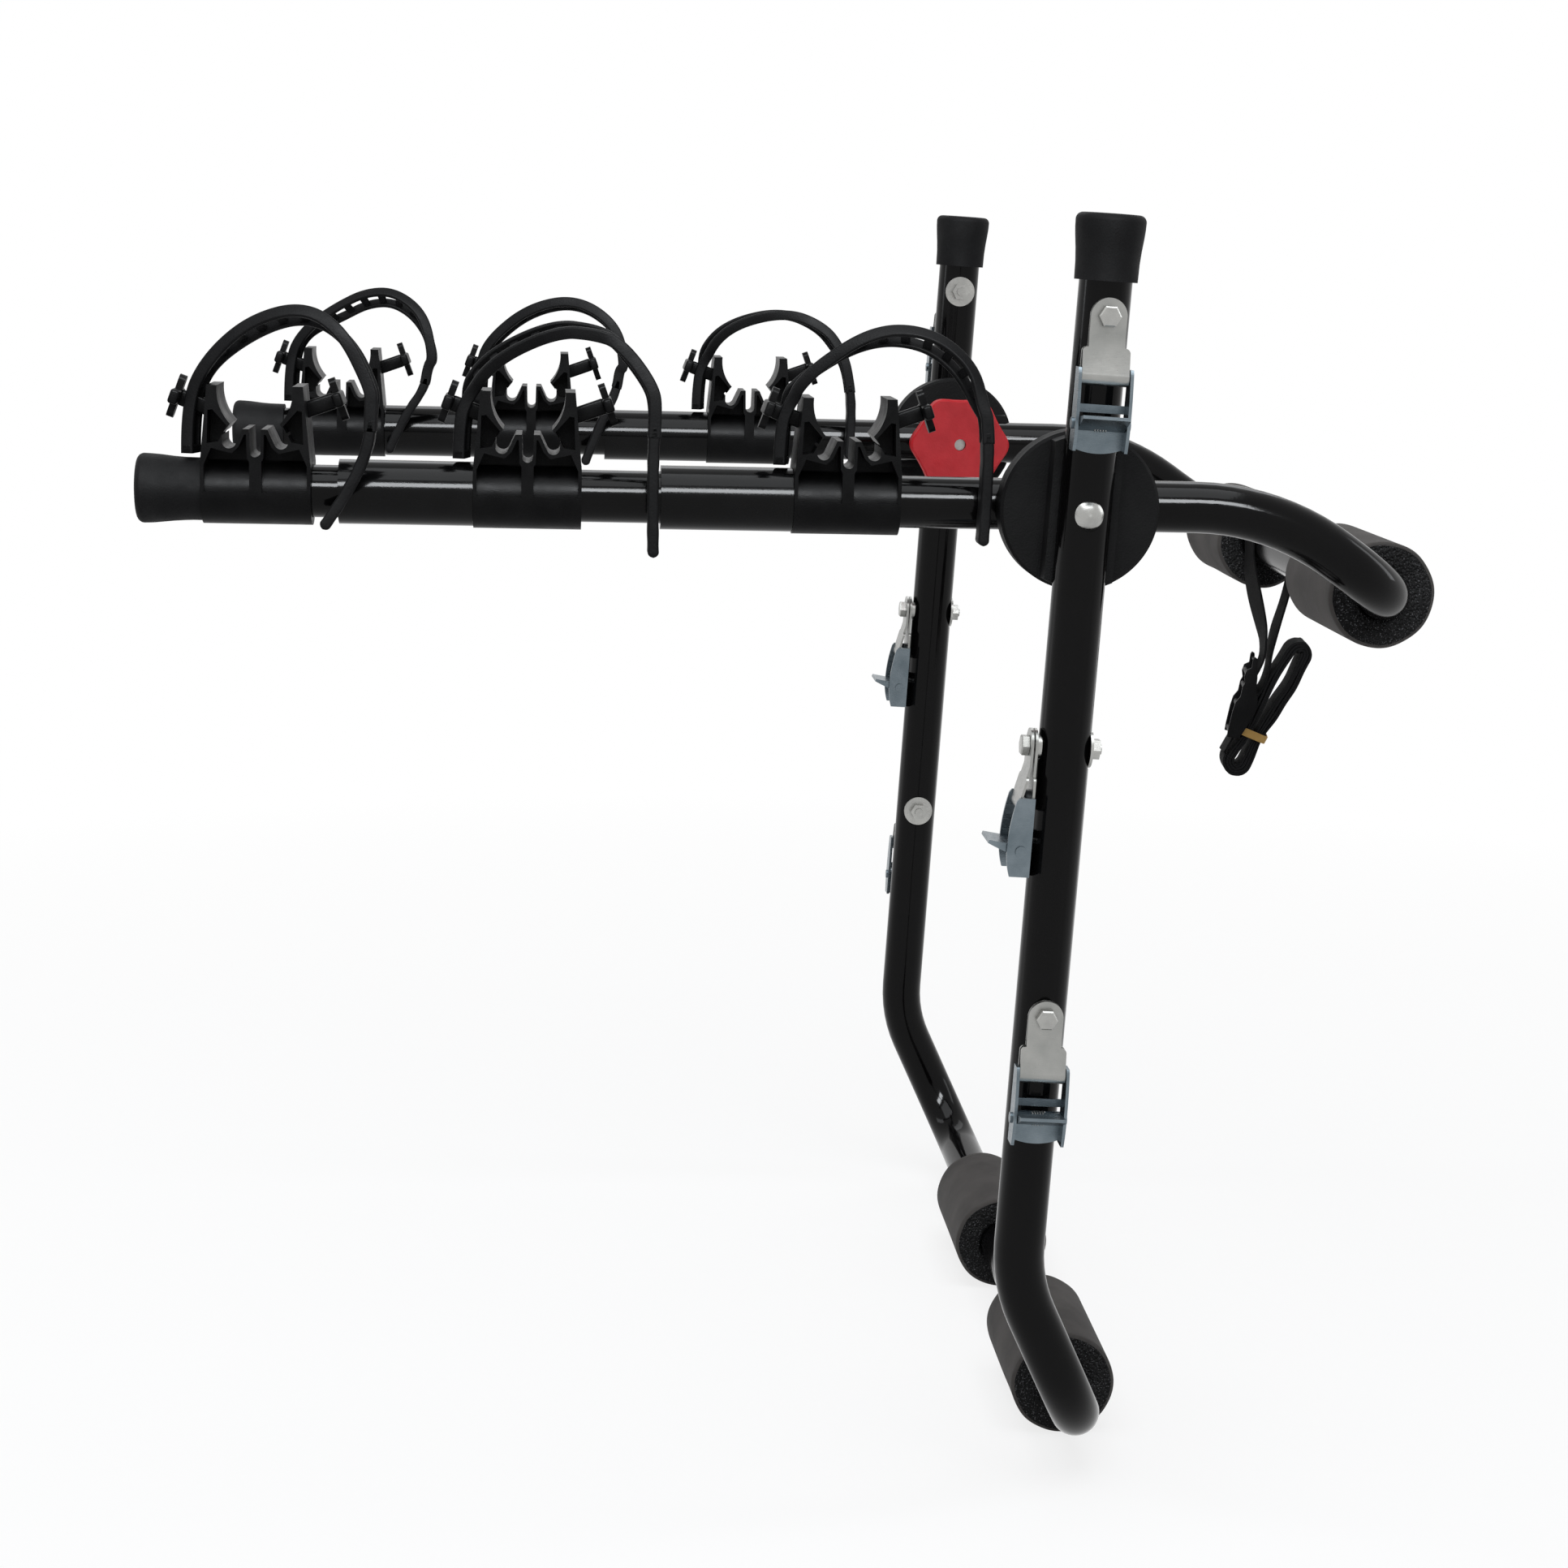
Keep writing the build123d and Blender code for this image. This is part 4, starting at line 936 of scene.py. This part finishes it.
# Each lamp's place, size and power, and whether it lights the object's own colour
lamps = {
    "key_top": ((-0.3, -1.0, 2.2), (2.6, 2.2), 64, True),
    "streak": ((-0.3, -4.6, 2.72), (4.6, 1.2), 860, False),
    "rim_right": ((2.4, 0.2, 0.9), (0.5, 1.6), 9, True),
    "rim_left": ((-2.6, 0.4, 0.9), (0.5, 1.6), 9, True),
    "back_top": ((0.2, 2.2, 1.9), (2.6, 1.0), 16, True),
}


def seen_directly(tree):
    """1 for camera, glossy and transmission rays, which see the plain white background."""
    path = tree.nodes.new("ShaderNodeLightPath")
    total = path.outputs["Is Camera Ray"]
    for name in ("Is Glossy Ray", "Is Transmission Ray"):
        both = tree.nodes.new("ShaderNodeMath")
        both.operation = "MAXIMUM"
        tree.links.new(total, both.inputs[0])
        tree.links.new(path.outputs[name], both.inputs[1])
        total = both.outputs[0]
    return total


def make_world():
    world = bpy.data.worlds.new("studio")
    bpy.context.scene.world = world
    world.use_nodes = True
    tree = world.node_tree
    tree.nodes.clear()
    out = tree.nodes.new("ShaderNodeOutputWorld")
    mix = tree.nodes.new("ShaderNodeMixShader")
    tree.links.new(seen_directly(tree), mix.inputs["Fac"])
    for strength, into in ((world_light, mix.inputs[1]), (world_seen, mix.inputs[2])):
        background = tree.nodes.new("ShaderNodeBackground")
        background.inputs["Color"].default_value = white
        background.inputs["Strength"].default_value = strength
        tree.links.new(background.outputs[0], into)
    tree.links.new(mix.outputs[0], out.inputs["Surface"])


def make_floor():
    floor_z = cad_low.z - floor_gap
    verts = [(0, 0, floor_z)]
    for i in range(floor_ring):
        a = 2 * math.pi * i / floor_ring
        verts.append((floor_r * math.cos(a), floor_r * math.sin(a), floor_z))
    faces = [(0, 1 + i, 1 + (i + 1) % floor_ring) for i in range(floor_ring)]
    m = Nodes("floor_pale")
    m.set(Base_Color=(0.94, 0.94, 0.94), Roughness=0.9, Specular_IOR_Level=0.1)
    length = m.add("ShaderNodeVectorMath", operation="LENGTH")
    m.link(m.place(), length.inputs[0])
    fade = m.ramp(length.outputs["Value"], *floor_fade, floor_fade_least, 1.0)
    glow = m.add("ShaderNodeEmission", Color=white)
    blend = m.add("ShaderNodeMixShader")
    m.link(m.math("MULTIPLY", fade, seen_directly(m.tree)), blend.inputs["Fac"])
    m.link(m.shader.outputs[0], blend.inputs[1])
    m.link(glow.outputs[0], blend.inputs[2])
    m.link(blend.outputs[0], m.tree.nodes["Material Output"].inputs["Surface"])
    floor = new_piece("floor", verts, faces, m.material, smooth=False)


def make_lamps():
    """Soft lamps, and one that draws streaks on the tubes and leaves out the bright metal."""
    not_lit = bpy.data.collections.new("bright_metal")
    for node in nodes:
        if node.startswith(("buckle_", "hub_bolts", "hub_washers")):
            not_lit.objects.link(nodes[node])
            not_lit.collection_objects[-1].light_linking.link_state = "EXCLUDE"
    for name, (place, size, power, soft) in lamps.items():
        lamp = bpy.data.lights.new(name, "AREA")
        lamp.shape = "RECTANGLE"
        lamp.size, lamp.size_y = size
        lamp.energy = power
        lamp.color = lamp_colour
        holder = bpy.data.objects.new(name, lamp)
        bpy.context.scene.collection.objects.link(holder)
        holder.location = place
        holder.visible_diffuse = soft
        if name == "streak":
            holder.light_linking.receiver_collection = not_lit
        aim = Vector((0, 0, -1)) if name == "key_top" else lamp_aim - Vector(place)
        holder.rotation_mode = "QUATERNION"
        holder.rotation_quaternion = aim.to_track_quat("-Z", "Y")


# Everything

bpy.context.scene.view_settings.view_transform = "Standard"
make_camera()
make_world()
make_floor()
make_lamps()

paint = paint_black()
cap_rubber = rubber("cap_rubber", (0.006, 0.006, 0.0065), (0.013, 0.013, 0.0135))
strap_rubber = rubber("strap_rubber", (0.005, 0.005, 0.0055), (0.012, 0.012, 0.0125), (0.42, 0.58))
cradle_black = moulded("cradle_black", (0.0035, 0.0035, 0.0038), (0.007, 0.007, 0.0073), (0.3, 0.44))
sleeve_black = moulded(
    "sleeve_black", (0.002, 0.002, 0.0022), (0.004, 0.004, 0.0042), (0.10, 0.15), depth=0.04, level=0.11)
disc_black = moulded(
    "disc_black", (0.004, 0.004, 0.0043), (0.008, 0.008, 0.0083), (0.5, 0.62), grain=1100, depth=0.4)
plastic_black = moulded("plastic_black", (0.003, 0.003, 0.0033), (0.006, 0.006, 0.0063))
zinc_bolt = zinc("zinc_bolt", (0.32, 0.32, 0.31), (0.46, 0.46, 0.44))
zinc_hanger = zinc("zinc_hanger", (0.28, 0.285, 0.275), (0.37, 0.37, 0.355), (0.26, 0.4))
zinc_plate = zinc("zinc_plate", (0.125, 0.155, 0.175), (0.20, 0.235, 0.26), (0.24, 0.38))
skin, cut = foam_skin(), foam_cut()
# The weave's darker colour is painted shade in its grooves, its lighter one a painted highlight on its
# ridges
weave_black = weave("weave_black", (0.0012, 0.0012, 0.0014), (0.006, 0.006, 0.0064))
tan = rubber("band_tan", (0.36, 0.22, 0.07), (0.47, 0.31, 0.12), (0.4, 0.55))
red = knob_red()

buckles = [f"{h}_{w}" for w in sides for h in heights]
dress(["upright_frame", "arm_frame"], paint)
dress(["upright_end_caps", "arm_end_caps"], cap_rubber)
dress([f"{a}_pad_{w}" for a in ("foot", "boot") for w in sides], skin)
dress([f"hub_disc_{a}_{w}" for a in ("outer", "inner") for w in sides], disc_black)
dress([f"hub_knob_{w}" for w in sides], red)
dress([f"hub_knob_nut_{w}" for w in sides] + ["hub_bolts", "hub_washers"], zinc_bolt)
dress(["buckle_bolts", "buckle_bolt_washers", "buckle_bolt_nuts"], zinc_bolt)
dress([f"spacer_sleeve_{w}_{i}" for w in sides for i in (1, 2)], sleeve_black)
dress([f"cradle_{name}" for name, _ in cradles()], cradle_black)
dress([f"ladder_strap_{name}" for name, _ in cradles()], strap_rubber)
dress([f"buckle_{p}_{b}" for p in ("body", "lever") for b in buckles], zinc_plate)
dress([f"buckle_hanger_{b}" for b in buckles], zinc_hanger)
dress(["webbing_buckle"], plastic_black)

make_webbing(weave_black, plastic_black, tan)
for name, middle in cradles():
    make_ladder_strap(name, middle, strap_rubber)
for name, middle in cradles():
    make_hooks(name, middle, cradle_black)
for word, side in sides.items():
    make_knob(word, side, red)
for seed, (kind, body) in enumerate((("foot", "upright"), ("boot", "arms"))):
    for k, word in enumerate(sides):
        make_pad(f"{kind}_pad_{word}", body, 10 * seed + k + 3, skin, cut)
for word, side in sides.items():
    for kind in heights:
        make_cam_spring(f"{kind}_{word}", kind, side, zinc_bolt)
